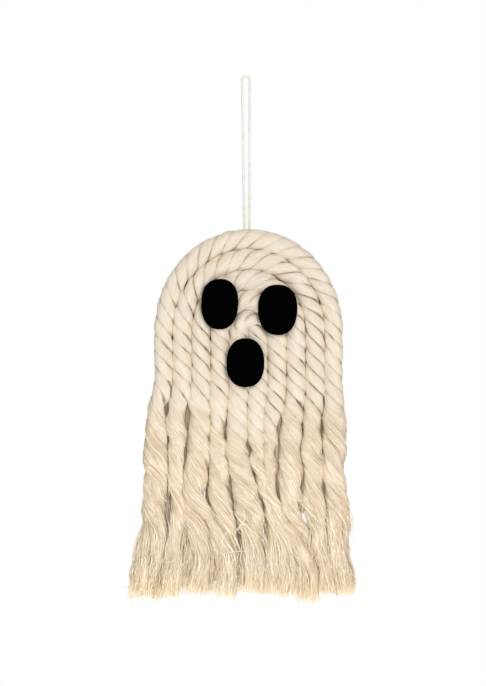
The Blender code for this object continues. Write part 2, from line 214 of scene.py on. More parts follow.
class GeometryTool:
    """A geometry node tree with named inputs, applied to a plain mesh."""

    def __init__(self, name: str, numbers: dict[str, str]) -> None:
        """Start a tree.

        Args:
            name: the tree's name.
            numbers: the types of its inputs by name; the geometry and the material come by themselves.
        """
        self.tree = bpy.data.node_groups.new(name, "GeometryNodeTree")
        self.graph = Graph(self.tree)
        for label, kind in {"Geometry": "Geometry", **numbers, "Material": "Material"}.items():
            self.tree.interface.new_socket(label, in_out="INPUT", socket_type=f"NodeSocket{kind}")
        self.tree.interface.new_socket("Geometry", in_out="OUTPUT", socket_type="NodeSocketGeometry")
        self._inputs = self.tree.nodes.new("NodeGroupInput")

    @property
    def place(self) -> Value:
        """Where each point is."""
        return self.graph.use("GeometryNodeInputPosition")

    @property
    def share(self) -> Value:
        """How far along its curve each point is, from 0 to 1."""
        return self.graph.use("GeometryNodeSplineParameter", {}, "Factor")

    def given(self, name: str) -> Value:
        """One of the tree's inputs."""
        return Value(self.graph, self._inputs.outputs[name])

    def curves(self) -> Value:
        """The host mesh's edges as curves."""
        return self.graph.use("GeometryNodeMeshToCurve", {"Mesh": self.given("Geometry")})

    def attribute(self, name: str, is_vector: bool = False) -> Value:
        """A named attribute of the geometry."""
        kind = "FLOAT_VECTOR" if is_vector else "FLOAT"
        return self.graph.use("GeometryNodeInputNamedAttribute", {"Name": name}, data_type=kind)

    def store(self, geometry: Value, name: str, value: Any) -> Value:
        """The geometry with a value stored for each point.

        Args:
            geometry: the geometry.
            name: the attribute's name.
            value: a number or a vector for each point.

        Returns:
            The geometry with the attribute.
        """
        kind = "FLOAT_VECTOR" if isinstance(value, Value) and value.is_vector else "FLOAT"
        inputs = {"Geometry": geometry, "Name": name, "Value": value}
        return self.graph.use("GeometryNodeStoreNamedAttribute", inputs, data_type=kind, domain="POINT")

    def move(self, geometry: Value, offset: Value) -> Value:
        """The geometry with its points moved."""
        return self.graph.use("GeometryNodeSetPosition", {"Geometry": geometry, "Offset": offset})

    def draw(self, low: float, high: float, seed: Any) -> Value:
        """A random number between two values, the same all along a curve.

        Args:
            low: the least value.
            high: the greatest value.
            seed: the seed.

        Returns:
            The number.
        """
        inputs = {"Min_001": low, "Max_001": high, "Seed": seed}
        number = self.graph.use("FunctionNodeRandomValue", inputs, data_type="FLOAT")
        return self.graph.use("GeometryNodeFieldOnDomain", {0: number}, domain="CURVE", data_type="FLOAT")

    def circle(self, sides: Any) -> Value:
        """A unit circle with a number of sides."""
        inputs = {"Resolution": sides, "Radius": 1.0}
        return self.graph.use("GeometryNodeCurvePrimitiveCircle", inputs, mode="RADIUS")

    def across(self, angle: Value, first: Value) -> Value:
        """The direction across a curve at an angle from a first one."""
        second = self.graph.pair("CROSS_PRODUCT", self.graph.use("GeometryNodeInputTangent"), first)
        return first * angle.one("COSINE") + second * angle.one("SINE")

    def sweep(
        self, curve: Value, profile: Value, scale: Value, is_smooth: bool = True
    ) -> tuple[Value, Value, Value, Value]:
        """Sweep a section along curves.

        Args:
            curve: the curves.
            profile: the section.
            scale: the section's size at each point.
            is_smooth: whether the surface is shaded smooth.

        Returns:
            The mesh, the section's own coordinates, the distance along the curve and the curve's own point.
        """
        g = self.graph
        profile, section = self._capture(profile, "VECTOR", self.place)
        line, along = self._capture(curve, "FLOAT", g.use("GeometryNodeSplineParameter", {}, "Length"))
        line, centre = self._capture(line, "VECTOR", self.place)
        inputs = {"Curve": line, "Profile Curve": profile, "Scale": scale, "Fill Caps": True}
        mesh = g.use("GeometryNodeCurveToMesh", inputs)
        shaded = g.use("GeometryNodeSetShadeSmooth", {"Geometry": mesh, "Shade Smooth": is_smooth})
        return shaded, section, along, centre

    def _capture(self, geometry: Value, kind: str, value: Value) -> tuple[Value, Value]:
        """Keep a value of each point through later steps.

        Args:
            geometry: the geometry.
            kind: the value's type, FLOAT or VECTOR.
            value: the value.

        Returns:
            The geometry and the kept value.
        """
        node = self.tree.nodes.new("GeometryNodeCaptureAttribute")
        node.capture_items.new(kind, "kept")
        self.tree.links.new(geometry.socket, node.inputs["Geometry"])
        self.tree.links.new(value.socket, node.inputs["kept"])
        return Value(self.graph, node.outputs["Geometry"]), Value(self.graph, node.outputs["kept"])

    def lay_out(self, mesh: Value, flat: Value, along: Value) -> Value:
        """Store the place that the cotton finish reads: across the strand, and along it."""
        return self.store(mesh, "lay_space", self.graph.vector(flat.part("X"), flat.part("Y"), along))

    def finish(self, geometry: Value) -> None:
        """Make the geometry's instances real, give it the material and end the tree.

        Args:
            geometry: the geometry.
        """
        real = self.graph.use("GeometryNodeRealizeInstances", {"Geometry": geometry})
        inputs = {"Geometry": real, "Material": self.given("Material")}
        self.graph.node("NodeGroupOutput", {"Geometry": self.graph.use("GeometryNodeSetMaterial", inputs)})

    def make(self, name: str, host: bpy.types.Mesh, values: dict[str, Any]) -> bpy.types.Object:
        """Run the tree on a mesh and keep the result as a plain piece.

        Args:
            name: the piece's name.
            host: the mesh that the tree works on.
            values: the tree's inputs by name.

        Returns:
            The piece.
        """
        guide = bpy.data.objects.new(f"{name}_guide", host)
        bpy.context.scene.collection.objects.link(guide)
        modifier = guide.modifiers.new("tool", "NODES")
        modifier.node_group = self.tree
        for item in self.tree.interface.items_tree:
            if item.item_type == "SOCKET" and item.in_out == "INPUT" and item.name in values:
                modifier[item.identifier] = values[item.name]
        graph = bpy.context.evaluated_depsgraph_get()
        evaluated = guide.evaluated_get(graph)
        mesh = bpy.data.meshes.new_from_object(evaluated, preserve_all_data_layers=True, depsgraph=graph)
        mesh.materials.clear()
        mesh.polygons.foreach_set("material_index", np.zeros(len(mesh.polygons), np.int32))
        bpy.data.objects.remove(guide)
        bpy.data.meshes.remove(host)
        mesh.name = name
        return add_piece(name, mesh, values["Material"])


class FibreTool(GeometryTool):
    """A tree that also makes single fibres."""

    def fibres(self, curves: Value, radius: Value, tint: Value, shade: Any) -> Value:
        """Sweep fibres and give them what the finish reads.

        Args:
            curves: the fibres' curves.
            radius: their radius.
            tint: their tone, from 0 to 1.
            shade: how much darker they are painted than the outer ones, as painted shade.

        Returns:
            The mesh.
        """
        curves = self.store(self.store(curves, "tint", tint), "fibre", 1.0)
        mesh, section, _, _ = self.sweep(curves, self.circle(3), radius, is_smooth=False)
        mesh = self.store(mesh, "crease", shade * self.attribute("down").ramp(0.6, 0.9, 1.0, 0.0))
        return self.lay_out(mesh, section * (0.3 * MM), self.attribute("run") + self.attribute("tint") * 7.0)


class StrandTool(FibreTool):
    """The tree that sweeps a strand's body and lays the locks of its frayed tails round it."""

    # Painted shade: the grooves are coloured darkest on this side of each rope, the lower right.
    painted_shade_side = (0.85, 0.0, -0.53)  # the side of each rope where its grooves are darkest
    clump_cells = 190.0

    def __init__(self) -> None:
        """Build the tree."""
        numbers = {"Sides": "Int", "Notch": "Float", "Squareness": "Float", "Locks": "Int", "Hairs": "Int"}
        numbers |= {"Lock Radius": "Float", "Fibre Turn": "Float", "Shade": "Float", "Seed": "Int"}
        super().__init__("strand_with_locks", numbers)
        inputs = {"Geometry": self.curves(), "Selection": self.attribute("fan") > 0.0}
        split = self.graph.node("GeometryNodeSeparateGeometry", inputs, domain="CURVE")
        tails, body = (Value(self.graph, split.outputs[name]) for name in ("Selection", "Inverted"))
        parts = [self.body(body), self.locks(tails), self.hairs(tails)]
        self.finish(self.graph.use("GeometryNodeJoinGeometry", {"Geometry": parts}))

    def body(self, curve: Value) -> Value:
        """Sweep the strand's body, with shallow bundles of fibres in its surface.

        Args:
            curve: the body's curve.

        Returns:
            The mesh.
        """
        g, down, shade = self.graph, self.attribute("down"), self.given("Shade")
        inputs = {"Curve": curve, "Normal": self.attribute("outward", True)}
        curve = g.use("GeometryNodeSetCurveNormal", inputs, mode="FREE")
        mesh, section, along, centre = self.sweep(curve, self.profile(), self.attribute("girth"))
        wound = self.attribute("run") * self.given("Fibre Turn")
        inputs = {"Vector": section * (3.4 * MM), "Axis": (0.0, 0.0, 1.0), "Angle": wound}
        flat = g.use("ShaderNodeVectorRotate", inputs, rotation_type="AXIS_ANGLE")
        mesh = self.store(self.lay_out(mesh, flat, along), "tint", 0.5)
        # Painted shade: grooves are coloured dark where the section faces away from its crest, less so at the
        # rope's front.
        place, core, size = self.place, self.attribute("core", True), section.one("LENGTH")
        away = (place - core).one("NORMALIZE")
        depth = away.part("Y").one("ABSOLUTE")
        side = 1.0 - depth * depth
        near = (1.0 - section.part("X") / size / (side * 0.5 + 0.3)).ramp(0.0, 1.0)
        low = g.pair("DOT_PRODUCT", away, self.painted_shade_side).ramp(-0.2, 0.9, 0.4, 1.0)
        crease = near * down.ramp(0.0, 0.12, 1.0, 0.7) * low * side.ramp(0.0, 0.8, 0.3, 1.0)
        mesh = self.store(mesh, "crease", shade + crease * (1.0 - shade))
        # The section turns round where the strand opens, and the strands fill out the rope.
        mesh = self.move(mesh, (place - centre) * ((1.1 / size - 1.0) * down.ramp(0.0, 0.1, 0.0, 0.7)))
        power = self.given("Squareness") + down.ramp(0.0, 0.1, 0.0, 0.3)
        fill = ((side**0.5) ** power + depth**power) ** (-1.0 / power)
        mesh = self.move(mesh, (place - core) * (fill - 1.0))
        # Bundles and lumps lift the surface.
        bundle = g.noise(g.vector(flat.part("X"), flat.part("Y"), along * 0.12), 420.0, 1.0) - 0.5
        amount = down.ramp(0.0, 0.2, 0.3 * MM, 1.3 * MM) * (self.attribute("girth") * 300.0)
        lump = g.noise(self.place, 120.0, 1.0) - 0.5
        lift = bundle * amount + lump * down.ramp(0.0, 0.2, 2.4 * MM, 0.8 * MM)
        return self.move(mesh, g.use("GeometryNodeInputNormal", {}, "Normal") * lift)

    def profile(self) -> Value:
        """The section of a strand pressed against two others: broad outside, pinched at the grooves.

        Returns:
            The section, with its crest along X and more points near the grooves.
        """
        angle = self.share * TURN + (self.share * (2 * TURN)).one("SINE") * 0.3
        cosine, sine = angle.one("COSINE"), angle.one("SINE")
        shoulder = (sine * sine) ** 1.6 * 0.33
        size = 1.0 + shoulder - cosine.ramp(0.8, 0.0, 0.0, 1.0) ** 1.4 * self.given("Notch")
        place = self.graph.vector(cosine * size, sine * size, 0.0)
        inputs = {"Geometry": self.circle(self.given("Sides")), "Position": place}
        return self.graph.use("GeometryNodeSetPosition", inputs)

    def copies(self, tails: Value, amount: str, first: Value, last: Value) -> Value:
        """Copies of the tails' curves, each cut to its own stretch.

        Args:
            tails: the tails' curves.
            amount: the input that says how many copies of each.
            first: where a copy starts, as a share.
            last: where it ends, as a share.

        Returns:
            The curves.
        """
        inputs = {"Geometry": tails, "Amount": self.given(amount)}
        copies = self.graph.use("GeometryNodeDuplicateElements", inputs, "Geometry", domain="SPLINE")
        inputs = {"Curve": copies, "Start": first, "End": last}
        return self.graph.use("GeometryNodeTrimCurve", inputs, mode="FACTOR")

    def stray(self, seed: Value, cells: float, size: Value) -> Value:
        """A smooth wandering push, different for each curve."""
        own = self.graph.vector(self.draw(0.0, 9.0, seed), self.draw(0.0, 9.0, seed + 1), 0.0)
        return self.graph.wander(self.place + own, cells, size)

    def spread(self, curves: Value, angle: Value, share: Value, strays: Sequence[Value]) -> Value:
        """Push curves out to the tail's surface, let them stray, and gather neighbours in locks.

        Args:
            curves: the curves.
            angle: each one's angle round the tail.
            share: its distance as a share of the tail's half width.
            strays: its own wandering pushes.

        Returns:
            The curves.
        """
        push = self.across(angle, self.attribute("outward", True)) * (self.attribute("reach") * share)
        for stray in strays:
            push = push + stray
        size = self.attribute("down").ramp(0.6, 0.95, 0.3 * MM, 6.0 * MM)
        gather = self.graph.wander(self.place * (1.0, 1.0, 0.25), self.clump_cells, size)
        return self.move(self.move(curves, push), gather)

    def locks(self, tails: Value) -> Value:
        """Lay locks of fibres round the tails, close to the body above and loose at the tips.

        Args:
            tails: the tails' curves.

        Returns:
            The mesh.
        """
        seed, down, share = self.given("Seed"), self.attribute("down"), self.share
        last = 1.0 - self.draw(0.0, 1.0, seed + 1) ** 2.0 * 0.35
        locks = self.copies(tails, "Locks", self.draw(0.0, 0.45, seed), last)
        angle = self.draw(-1.0, 1.0, seed + 2) * self.attribute("fan")
        angle = angle + self.attribute("run") * self.draw(-14.0, 6.0, seed + 3)
        tight = 1.0 + self.draw(-0.05, 0.08, seed + 4)
        brushed = tight + (self.draw(0.3, 1.1, seed + 5) - tight) * down.ramp(0.86, 1.0)
        lifted = share.ramp(0.8, 1.0) ** 2.0 * self.draw(0.0, 0.85, seed + 12) ** 3.0
        lifted = lifted * down.ramp(0.2, 0.7, 0.3, 0.9)
        long = self.stray(seed + 6, 75.0, down.ramp(0.1, 1.0, 0.4 * MM, 4.5 * MM))
        short = self.stray(seed + 8, 150.0, down.ramp(0.3, 1.0, 0.5 * MM, 5.0 * MM))
        locks = self.spread(locks, angle, brushed + lifted, (long, short))
        taper = share.ramp(0.0, 0.2, 0.1, 1.0) * share.ramp(0.6, 1.0, 1.0, 0.45)
        radius = self.given("Lock Radius") * self.draw(0.5, 1.3, seed + 10) * taper
        return self.fibres(locks, radius, self.draw(0.0, 1.0, seed + 11), self.given("Shade"))

    def hairs(self, tails: Value) -> Value:
        """Fill the brushed tips with many short hairs.

        Args:
            tails: the tails' curves.

        Returns:
            The mesh.
        """
        seed, down = self.given("Seed") + 40, self.attribute("down")
        last = 1.0 - self.draw(0.0, 1.0, seed + 1) ** 1.2 * 0.09
        hairs = self.copies(tails, "Hairs", self.draw(0.55, 0.86, seed), last)
        angle = self.draw(-1.0, 1.0, seed + 2) * self.attribute("fan")
        inner = self.draw(0.0, 1.0, seed + 3) ** 0.5
        brushed = 1.0 + (inner * 1.15 - 1.0) * down.ramp(0.88, 0.97)
        long = self.stray(seed + 4, 110.0, down.ramp(0.6, 1.0, 0.3 * MM, 3.0 * MM))
        short = self.stray(seed + 8, 160.0, down.ramp(0.5, 1.0, 0.3 * MM, 5.0 * MM))
        hairs = self.spread(hairs, angle, brushed, (long, short))
        taper = self.share.ramp(0.0, 1.0, 1.0, 0.6)
        radius = self.given("Lock Radius") * self.draw(0.45, 1.0, seed + 6) * taper
        return self.fibres(hairs, radius, self.draw(0.0, 1.0, seed + 7), self.given("Shade"))


def add_piece(name: str, mesh: bpy.types.Mesh, material: bpy.types.Material) -> bpy.types.Object:
    """Put a mesh in the scene as a piece.

    Args:
        name: the piece's name.
        mesh: its mesh, with its place in it.
        material: its material.

    Returns:
        The piece.
    """
    piece = bpy.data.objects.new(name, mesh)
    mesh.materials.append(material)
    bpy.context.scene.collection.objects.link(piece)
    return piece


def declare(piece: bpy.types.Object, slot: str, node: str = "") -> bpy.types.Object:
    """Let a piece ride on the body, and hide the CAD node that it stands for.

    Args:
        piece: the piece.
        slot: not used.
        node: the CAD node, if there is one.

    Returns:
        The piece.
    """
    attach(piece, BODY)
    if node:
        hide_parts(node)
    return piece


def report(piece: bpy.types.Object) -> None:
    """Log a finished piece and its size in triangles."""
    log.info("%s: %d triangles", piece.name, sum(len(p.vertices) - 2 for p in piece.data.polygons))


def line_mesh(lines: Iterable[Sequence[Sequence[float]]]) -> bpy.types.Mesh:
    """A mesh of loose edges along lines of points.

    Args:
        lines: the lines.

    Returns:
        The mesh.
    """
    points, edges = [], []
    for line in lines:
        edges += [(len(points) + i, len(points) + i + 1) for i in range(len(line) - 1)]
        points += [tuple(point) for point in line]
    mesh = bpy.data.meshes.new("lines")
    mesh.from_pydata(points, edges, [])
    return mesh


def smooth_mesh(bm: bmesh.types.BMesh, name: str) -> bpy.types.Mesh:
    """Turn the faces outward, shade them smooth and keep them as a mesh.

    Args:
        bm: the faces, which are freed.
        name: the mesh's name.

    Returns:
        The mesh.
    """
    bmesh.ops.recalc_face_normals(bm, faces=bm.faces)
    for face in bm.faces:
        face.smooth = True
    mesh = bpy.data.meshes.new(name)
    bm.to_mesh(mesh)
    bm.free()
    return mesh


# Finishes


class Finish:
    """A material made of nodes around one Principled shader."""

    name: str
    roughness = 0.95
    sheen = 0.0
    specular = 0.2
    relief = 0.0

    def material(self) -> bpy.types.Material:
        """The material, made the first time that it is asked for.

        Returns:
            The material.
        """
        made = bpy.data.materials.get(self.name)
        if made:
            return made
        made = bpy.data.materials.new(self.name)
        made.use_nodes = True
        shader = made.node_tree.nodes["Principled BSDF"]
        values = {"Roughness": self.roughness, "Specular IOR Level": self.specular}
        values |= {"Sheen Weight": self.sheen, "Sheen Roughness": 0.6}
        for name, value in values.items():
            shader.inputs[name].default_value = value
        graph = Graph(made.node_tree)
        colour, height = self.paint(graph)
        graph.tree.links.new(colour.socket, shader.inputs["Base Color"])
        if height:
            inputs = {"Strength": 1.0, "Distance": self.relief, "Height": height}
            graph.tree.links.new(graph.use("ShaderNodeBump", inputs).socket, shader.inputs["Normal"])
        return made

    def paint(self, graph: Graph) -> tuple[Value, Value | None]:
        """The colour, and the height of the relief from 0 to 1 where there is one."""
        raise NotImplementedError


@dataclass(frozen=True)
class CottonFinish(Finish):
    """Unbleached cotton with fine fibres that run along a strand and turn slowly about it."""

    name: str = "natural_cotton"
    light: Colour = (0.85, 0.765, 0.635)
    dark: Colour = (0.72, 0.62, 0.485)
    tip: Colour = (0.98, 0.87, 0.64)
    open_light: Colour = (0.86, 0.75, 0.59)
    open_dark: Colour = (0.65, 0.52, 0.37)
    groove_shade: Colour = (0.225, 0.13, 0.07)
    single_light: Colour = (0.96, 0.865, 0.7)
    single_dark: Colour = (0.78, 0.61, 0.43)
    single_tip: Colour = (1.0, 0.865, 0.63)
    fibres: float = 1900.0
    locks: float = 560.0
    blotches: float = 45.0
    relief: float = 0.34 * MM
    sheen: float = 0.1
    roughness: float = 0.96
    specular: float = 0.15

    def paint(self, graph: Graph) -> tuple[Value, Value]:
        """Streaks along the fibres, warmer towards the brushed tips; painted shade darkens the grooves and
        the deep fibres, and the paler loose fibres and tips are partly painted light.

        Args:
            graph: the material's nodes.

        Returns:
            The colour and the height.
        """
        lay = graph.painted("lay_space", "Vector")
        down, tint, crease, fibre = (graph.painted(name) for name in ("down", "tint", "crease", "fibre"))
        stretched = lay * (1.0, 1.0, 0.1)
        streak = graph.noise(stretched, self.fibres, 3.0)
        lock = graph.noise(stretched, self.locks, 2.0)
        blotch = graph.noise(lay, self.blotches, 2.0)
        share = (streak * 0.75 + lock * 0.45 + blotch * 0.3 + tint * 0.5 - 0.5).ramp(0.28, 0.72)
        laid = graph.blend(share, self.dark, self.light)
        loose = graph.blend(share, self.open_dark, self.open_light)
        colour = graph.blend(down.ramp(-0.01, 0.12), laid, loose)
        # Warmer and paler towards the tips: partly the cotton's own tone, partly painted light for light
        # passing through the thin brushed tips.
        colour = graph.blend(down.ramp(0.5, 1.0, 0.0, 0.8), colour, self.tip)
        # Painted shade: the grooves and the fibres deep in the fringe are coloured dark brown.
        colour = graph.blend(crease, colour, self.groove_shade)
        # Loose fibres are coloured paler than the body: partly their own tone, partly painted light that
        # makes up for the shade among them.
        single = graph.blend(tint.ramp(0.0, 0.7), self.single_dark, self.single_light)
        single = graph.blend(down.ramp(0.8, 1.0, 0.0, 0.85), single, self.single_tip)
        colour = graph.blend(fibre * (1.0 - crease), colour, single)
        return colour, (streak * 0.6 + lock * 0.4) * down.ramp(0.0, 0.1, 0.5, 1.5) * (1.0 - fibre)


@dataclass(frozen=True)
class FeltFinish(Finish):
    """Felt: short fibres pressed in all directions."""

    name: str
    light: Colour
    dark: Colour
    grain: float = 1900.0
    curl: float = 700.0
    clouds: float = 160.0
    relief: float = 0.18 * MM
    roughness: float = 1.0
    specular: float = 0.1

    def paint(self, graph: Graph) -> tuple[Value, Value]:
        """Mottled colour and a matted relief.

        Args:
            graph: the material's nodes.

        Returns:
            The colour and the height.
        """
        place = graph.use("ShaderNodeTexCoord", {}, "Object")
        grain = graph.noise(place + graph.wander(place, self.curl, 1.6 * MM, 2.0), self.grain, 3.0)
        share = (grain * 0.9 + graph.noise(place, self.clouds, 3.0) * 0.2).ramp(0.35, 0.78)
        return graph.blend(share, self.dark, self.light), grain


@dataclass(frozen=True)
class FloorFinish(Finish):
    """Pale matt floor that turns to plain white away from the part, for the camera alone."""

    name: str = "pale_floor"
    near: float = 0.06
    far: float = 0.17
    light: Colour = (0.92, 0.92, 0.92)
    dark: Colour = (0.9, 0.9, 0.9)
    roughness: float = 0.9

    def paint(self, graph: Graph) -> tuple[Value, None]:
        """Mix the floor with white by its distance from the part.

        Args:
            graph: the material's nodes.

        Returns:
            The floor's own colour.
        """
        place = graph.use("ShaderNodeTexCoord", {}, "Object")
        share = place.one("LENGTH").ramp(self.near, self.far) * seen_ray(graph)
        white = graph.use("ShaderNodeEmission", {"Color": WHITE, "Strength": 1.0})
        own = Value(graph, graph.tree.nodes["Principled BSDF"].outputs[0])
        mixed = graph.use("ShaderNodeMixShader", {0: share, 1: own, 2: white})
        graph.tree.links.new(mixed.socket, graph.tree.nodes["Material Output"].inputs["Surface"])
        return graph.blend(graph.noise(place, 3.0).ramp(0.3, 0.7), self.dark, self.light), None


def seen_ray(graph: Graph) -> Value:
    """1 on rays that see the background, straight or by gloss or glass, and 0 on rays that light the part.

    Args:
        graph: the nodes.

    Returns:
        The number.
    """
    kinds = ("Camera", "Glossy", "Transmission")
    straight, glossy, through = (graph.use("ShaderNodeLightPath", {}, f"Is {kind} Ray") for kind in kinds)
    return graph.pair("MAXIMUM", straight, glossy + through)


NATURAL_COTTON = CottonFinish()
LOOP_COTTON = CottonFinish(
    name="white_cotton",
    light=(0.95, 0.93, 0.88),
    dark=(0.79, 0.75, 0.67),
    tip=(0.95, 0.93, 0.88),
    fibres=3500.0,
    locks=1500.0,
    relief=0.06 * MM,
)
BLACK_FELT = FeltFinish("black_felt_fibres", (0.0014, 0.0014, 0.0015), (0.0004, 0.0004, 0.0005), specular=0.0)
WHITE_FELT = FeltFinish("white_felt_fibres", (0.80, 0.77, 0.70), (0.66, 0.62, 0.54))
PALE_FLOOR = FloorFinish()


# Layout of the ropes


def smooth(values: np.ndarray, low: float, high: float) -> np.ndarray:
    """Ease from 0 at low to 1 at high."""
    share = np.clip((values - low) / (high - low), 0.0, 1.0)
    return share**2 * (3 - 2 * share)


def spaced(line: np.ndarray, step: float) -> tuple[np.ndarray, np.ndarray]:
    """Evenly spaced points along a line.

    Args:
        line: the line's points.
        step: from one new point to the next, at least.

    Returns:
        The distances along the line and the points there.
    """
    covered = np.concatenate([[0.0], np.cumsum(np.linalg.norm(np.diff(line, axis=0), axis=1))])
    s = np.linspace(0.0, covered[-1], int(covered[-1] / step) + 1)
    return s, np.stack([np.interp(s, covered, line[:, i]) for i in range(3)], axis=1)


class Side(Enum):
    """The two legs of an arch."""

    LEFT = -1
    RIGHT = 1


@dataclass(frozen=True)
class Lay:
    """How a rope's strands turn: length of a turn, place of the first groove, drift at the crown, opening."""

    turn: float
    first_groove: float
    drift: float
    opens_below: float


@dataclass(frozen=True)
class Widening:
    """A stretch of the fringe over which the row gets wider by a share of its width."""

    share: float
    begins: float
    ends: float


@dataclass(frozen=True)
class Parting:
    """Gaps between columns of the fringe along one seam: each one's top, bottom and push, in millimetres."""

    seam: float
    gaps: tuple[tuple[float, float, float], ...]


@dataclass(frozen=True)
class RopeRow:
    """The row of nested ropes, with the sizes that the CAD model uses.

    The seams say where the fringe's columns meet at each height, from the left edge to the right edge. They
    and the tails' ends are in millimetres.
    """

    rope_diameter: float = 11.7 * MM
    rope_gap: float = 0.3 * MM
    crown_swell: float = 1.084
    tightest_inside: float = 0.8
    head_centre_x: float = 1.6 * MM
    loop_drop: float = 96.2 * MM
    leg_length: float = 39.0 * MM
    fringe_length: float = 131.0 * MM
    drift_x: float = -4.6 * MM
    sway: float = 1.6 * MM
    sway_length: float = 71.0 * MM
    rope_y: float = -9.15 * MM
    lays: tuple[Lay, ...] = (
        Lay(29.9 * MM, 10.1 * MM, -0.117, 2.0 * MM),
        Lay(28.9 * MM, 10.7 * MM, 0.044, 4.4 * MM),
        Lay(28.2 * MM, 0.9 * MM, -0.120, 5.7 * MM),
        Lay(25.3 * MM, 2.8 * MM, 0.0, 15.8 * MM),
        Lay(24.0 * MM, -1.1 * MM, 0.0, 20.2 * MM),
    )
    widenings: tuple[Widening, ...] = (
        Widening(0.075, -8.0 * MM, 22.0 * MM),
        Widening(0.115, 74.0 * MM, 118.0 * MM),
    )
    tail_ends: tuple[float, ...] = (
        -329.7, -330.0, -327.8, -328.4, -326.5, -327.0, -329.0, -331.6, -327.0, -328.0,
    )  # fmt: skip
    seams: tuple[tuple[float, tuple[float, ...]], ...] = (
        (-212.2, (-61.6, -50.2, -36.9, -22.4, -11.7, 0.8, 11.7, 23.1, 36.0, 48.3, 62.5)),
        (-223.6, (-63.2, -49.9, -37.6, -22.7, -13.3, 1.1, 11.2, 20.8, 35.7, 48.0, 63.8)),
        (-236.2, (-63.2, -48.9, -38.0, -23.4, -12.6, 1.6, 11.4, 19.6, 34.7, 48.3, 63.5)),
        (-252.0, (-62.8, -48.6, -39.2, -23.4, -11.4, 4.1, 12.0, 20.2, 35.4, 48.6, 61.9)),
        (-267.8, (-63.8, -49.6, -40.4, -23.7, -9.5, 9.8, 14.2, 21.5, 36.0, 49.3, 62.8)),
        (-283.6, (-65.4, -49.9, -39.8, -23.1, -4.7, 12.9, 17.1, 24.6, 38.2, 49.9, 64.4)),
        (-299.4, (-69.5, -51.2, -39.5, -22.7, -4.1, 13.9, 20.8, 29.1, 39.8, 51.2, 66.3)),
        (-315.2, (-72.3, -55.6, -39.2, -22.7, -5.7, 10.7, 24.0, 34.7, 44.8, 55.6, 66.9)),
        (-332.2, (-73.3, -59.4, -42.9, -25.9, -8.8, 7.6, 22.1, 36.0, 46.7, 57.5, 66.9)),
    )
    bend_begins: float = -2.0 * MM
    bend_ends: float = 12.0 * MM
    partings: tuple[Parting, ...] = (
        Parting(-4, ((-203, -217, 1.1), (-224, -238, 1.3), (-238, -250, 1.3), (-250, -297, 2.0))),
        Parting(-3, ((-206, -226, 1.4), (-226, -262, 1.2))),
        Parting(-2, ((-248, -282, 0.45), (-286, -300, 0.6))),
        Parting(-1, ((-214, -232, 0.8), (-248, -268, 0.8), (-274, -314, 2.4))),
        Parting(0, ((-229, -242, 1.3), (-243, -260, 1.3), (-262, -276, 1.2), (-276, -296, 0.9))),
        Parting(2, ((-213, -231, 1.1), (-232, -245, 1.6), (-246, -272, 1.6))),
        Parting(2.5, ((-260, -294, 1.6),)),
        Parting(3, ((-214, -230, 0.9), (-270, -295, 2.8))),
        Parting(4, ((-216, -229, 1.2), (-232, -243, 1.2), (-251, -264, 1.2))),
    )
    parting_scale: float = 2.5
    parting_reach: float = 5.5 * MM
    parting_softness: float = 1.2 * MM
    front_column: int = 4
    front_push: float = 2.2 * MM
    front_width: float = 0.7
    front_begins: float = 8.0 * MM
    front_ends: float = 40.0 * MM

    @property
    def pitch(self) -> float:
        """From one leg's centre line to the next."""
        return self.rope_diameter + self.rope_gap

    @property
    def crown_pitch(self) -> float:
        """From one rope's centre line to the next at the crown."""
        return self.crown_swell * self.rope_diameter + self.rope_gap

    @property
    def spring_z(self) -> float:
        """Height of the line where the legs pass into the crowns."""
        return -self.loop_drop - len(self.lays) * self.crown_pitch

    @property
    def foot_z(self) -> float:
        """Height of the place where the lays are counted from."""
        return self.spring_z - self.leg_length

    def half_span(self, rope: int) -> float:
        """From the head's centre line to a leg's."""
        return self.pitch * (len(self.lays) - rope - 0.5)

    def rise(self, rope: int) -> float:
        """From the spring line to the crown's centre line."""
        return self.crown_pitch * (len(self.lays) - rope - 0.5)

    def spread(self, z: np.ndarray) -> np.ndarray:
        """How much wider the row is at each height than the head, as a share.

        Args:
            z: the heights.

        Returns:
            One share for each height.
        """
        total = np.zeros_like(z)
        for w in self.widenings:
            total += w.share * smooth(self.foot_z - z, w.begins, w.ends)
        return total

    def drift(self, z: np.ndarray) -> np.ndarray:
        """How far the widened row lies aside at each height."""
        return self.drift_x * self.spread(z) / sum(w.share for w in self.widenings)

    def leg_points(self, side: Side, rope: int, z: np.ndarray) -> np.ndarray:
        """Points on the centre line of a leg and the tail below it.

        Args:
            side: the leg.
            rope: the rope, 0 for the outermost.
            z: the heights.

        Returns:
            One point for each height.
        """
        x = side.value * self.half_span(rope) * (1 + self.spread(z)) + self.drift(z)
        share = np.maximum(0.0, (self.foot_z - z) / self.fringe_length)
        phase = TURN * (z / self.sway_length + x / (self.pitch * len(self.lays)))
        x = self.head_centre_x + x + self.sway * share * np.sin(phase)
        return np.stack([x, np.full_like(z, self.rope_y), z], axis=1)

    def laid_line(self, rope: int) -> np.ndarray:
        """Closely spaced points along the laid part of a rope, left to right.

        Args:
            rope: the rope, 0 for the outermost.

        Returns:
            The points.
        """
        leg = np.linspace(self.foot_z - self.lays[rope].opens_below, self.spring_z, 160, endpoint=False)
        angle = np.linspace(0.0, math.pi, 600)
        x = self.head_centre_x - self.half_span(rope) * np.cos(angle)
        z = self.spring_z + self.rise(rope) * np.sin(angle)
        crown = np.stack([x, np.full_like(angle, self.rope_y), z], axis=1)
        left, right = self.leg_points(Side.LEFT, rope, leg), self.leg_points(Side.RIGHT, rope, leg[::-1])
        return np.concatenate([left, crown, right])

    def even_seams(self, z: np.ndarray) -> np.ndarray:
        """Where the columns would meet if they hung evenly.

        Args:
            z: the heights.

        Returns:
            The seams' places across, one row for each height.
        """
        numbers = np.arange(-len(self.lays), len(self.lays) + 1)
        middle, width = self.head_centre_x + self.drift(z), self.pitch * (1 + self.spread(z))
        return middle[:, None] + numbers * width[:, None]

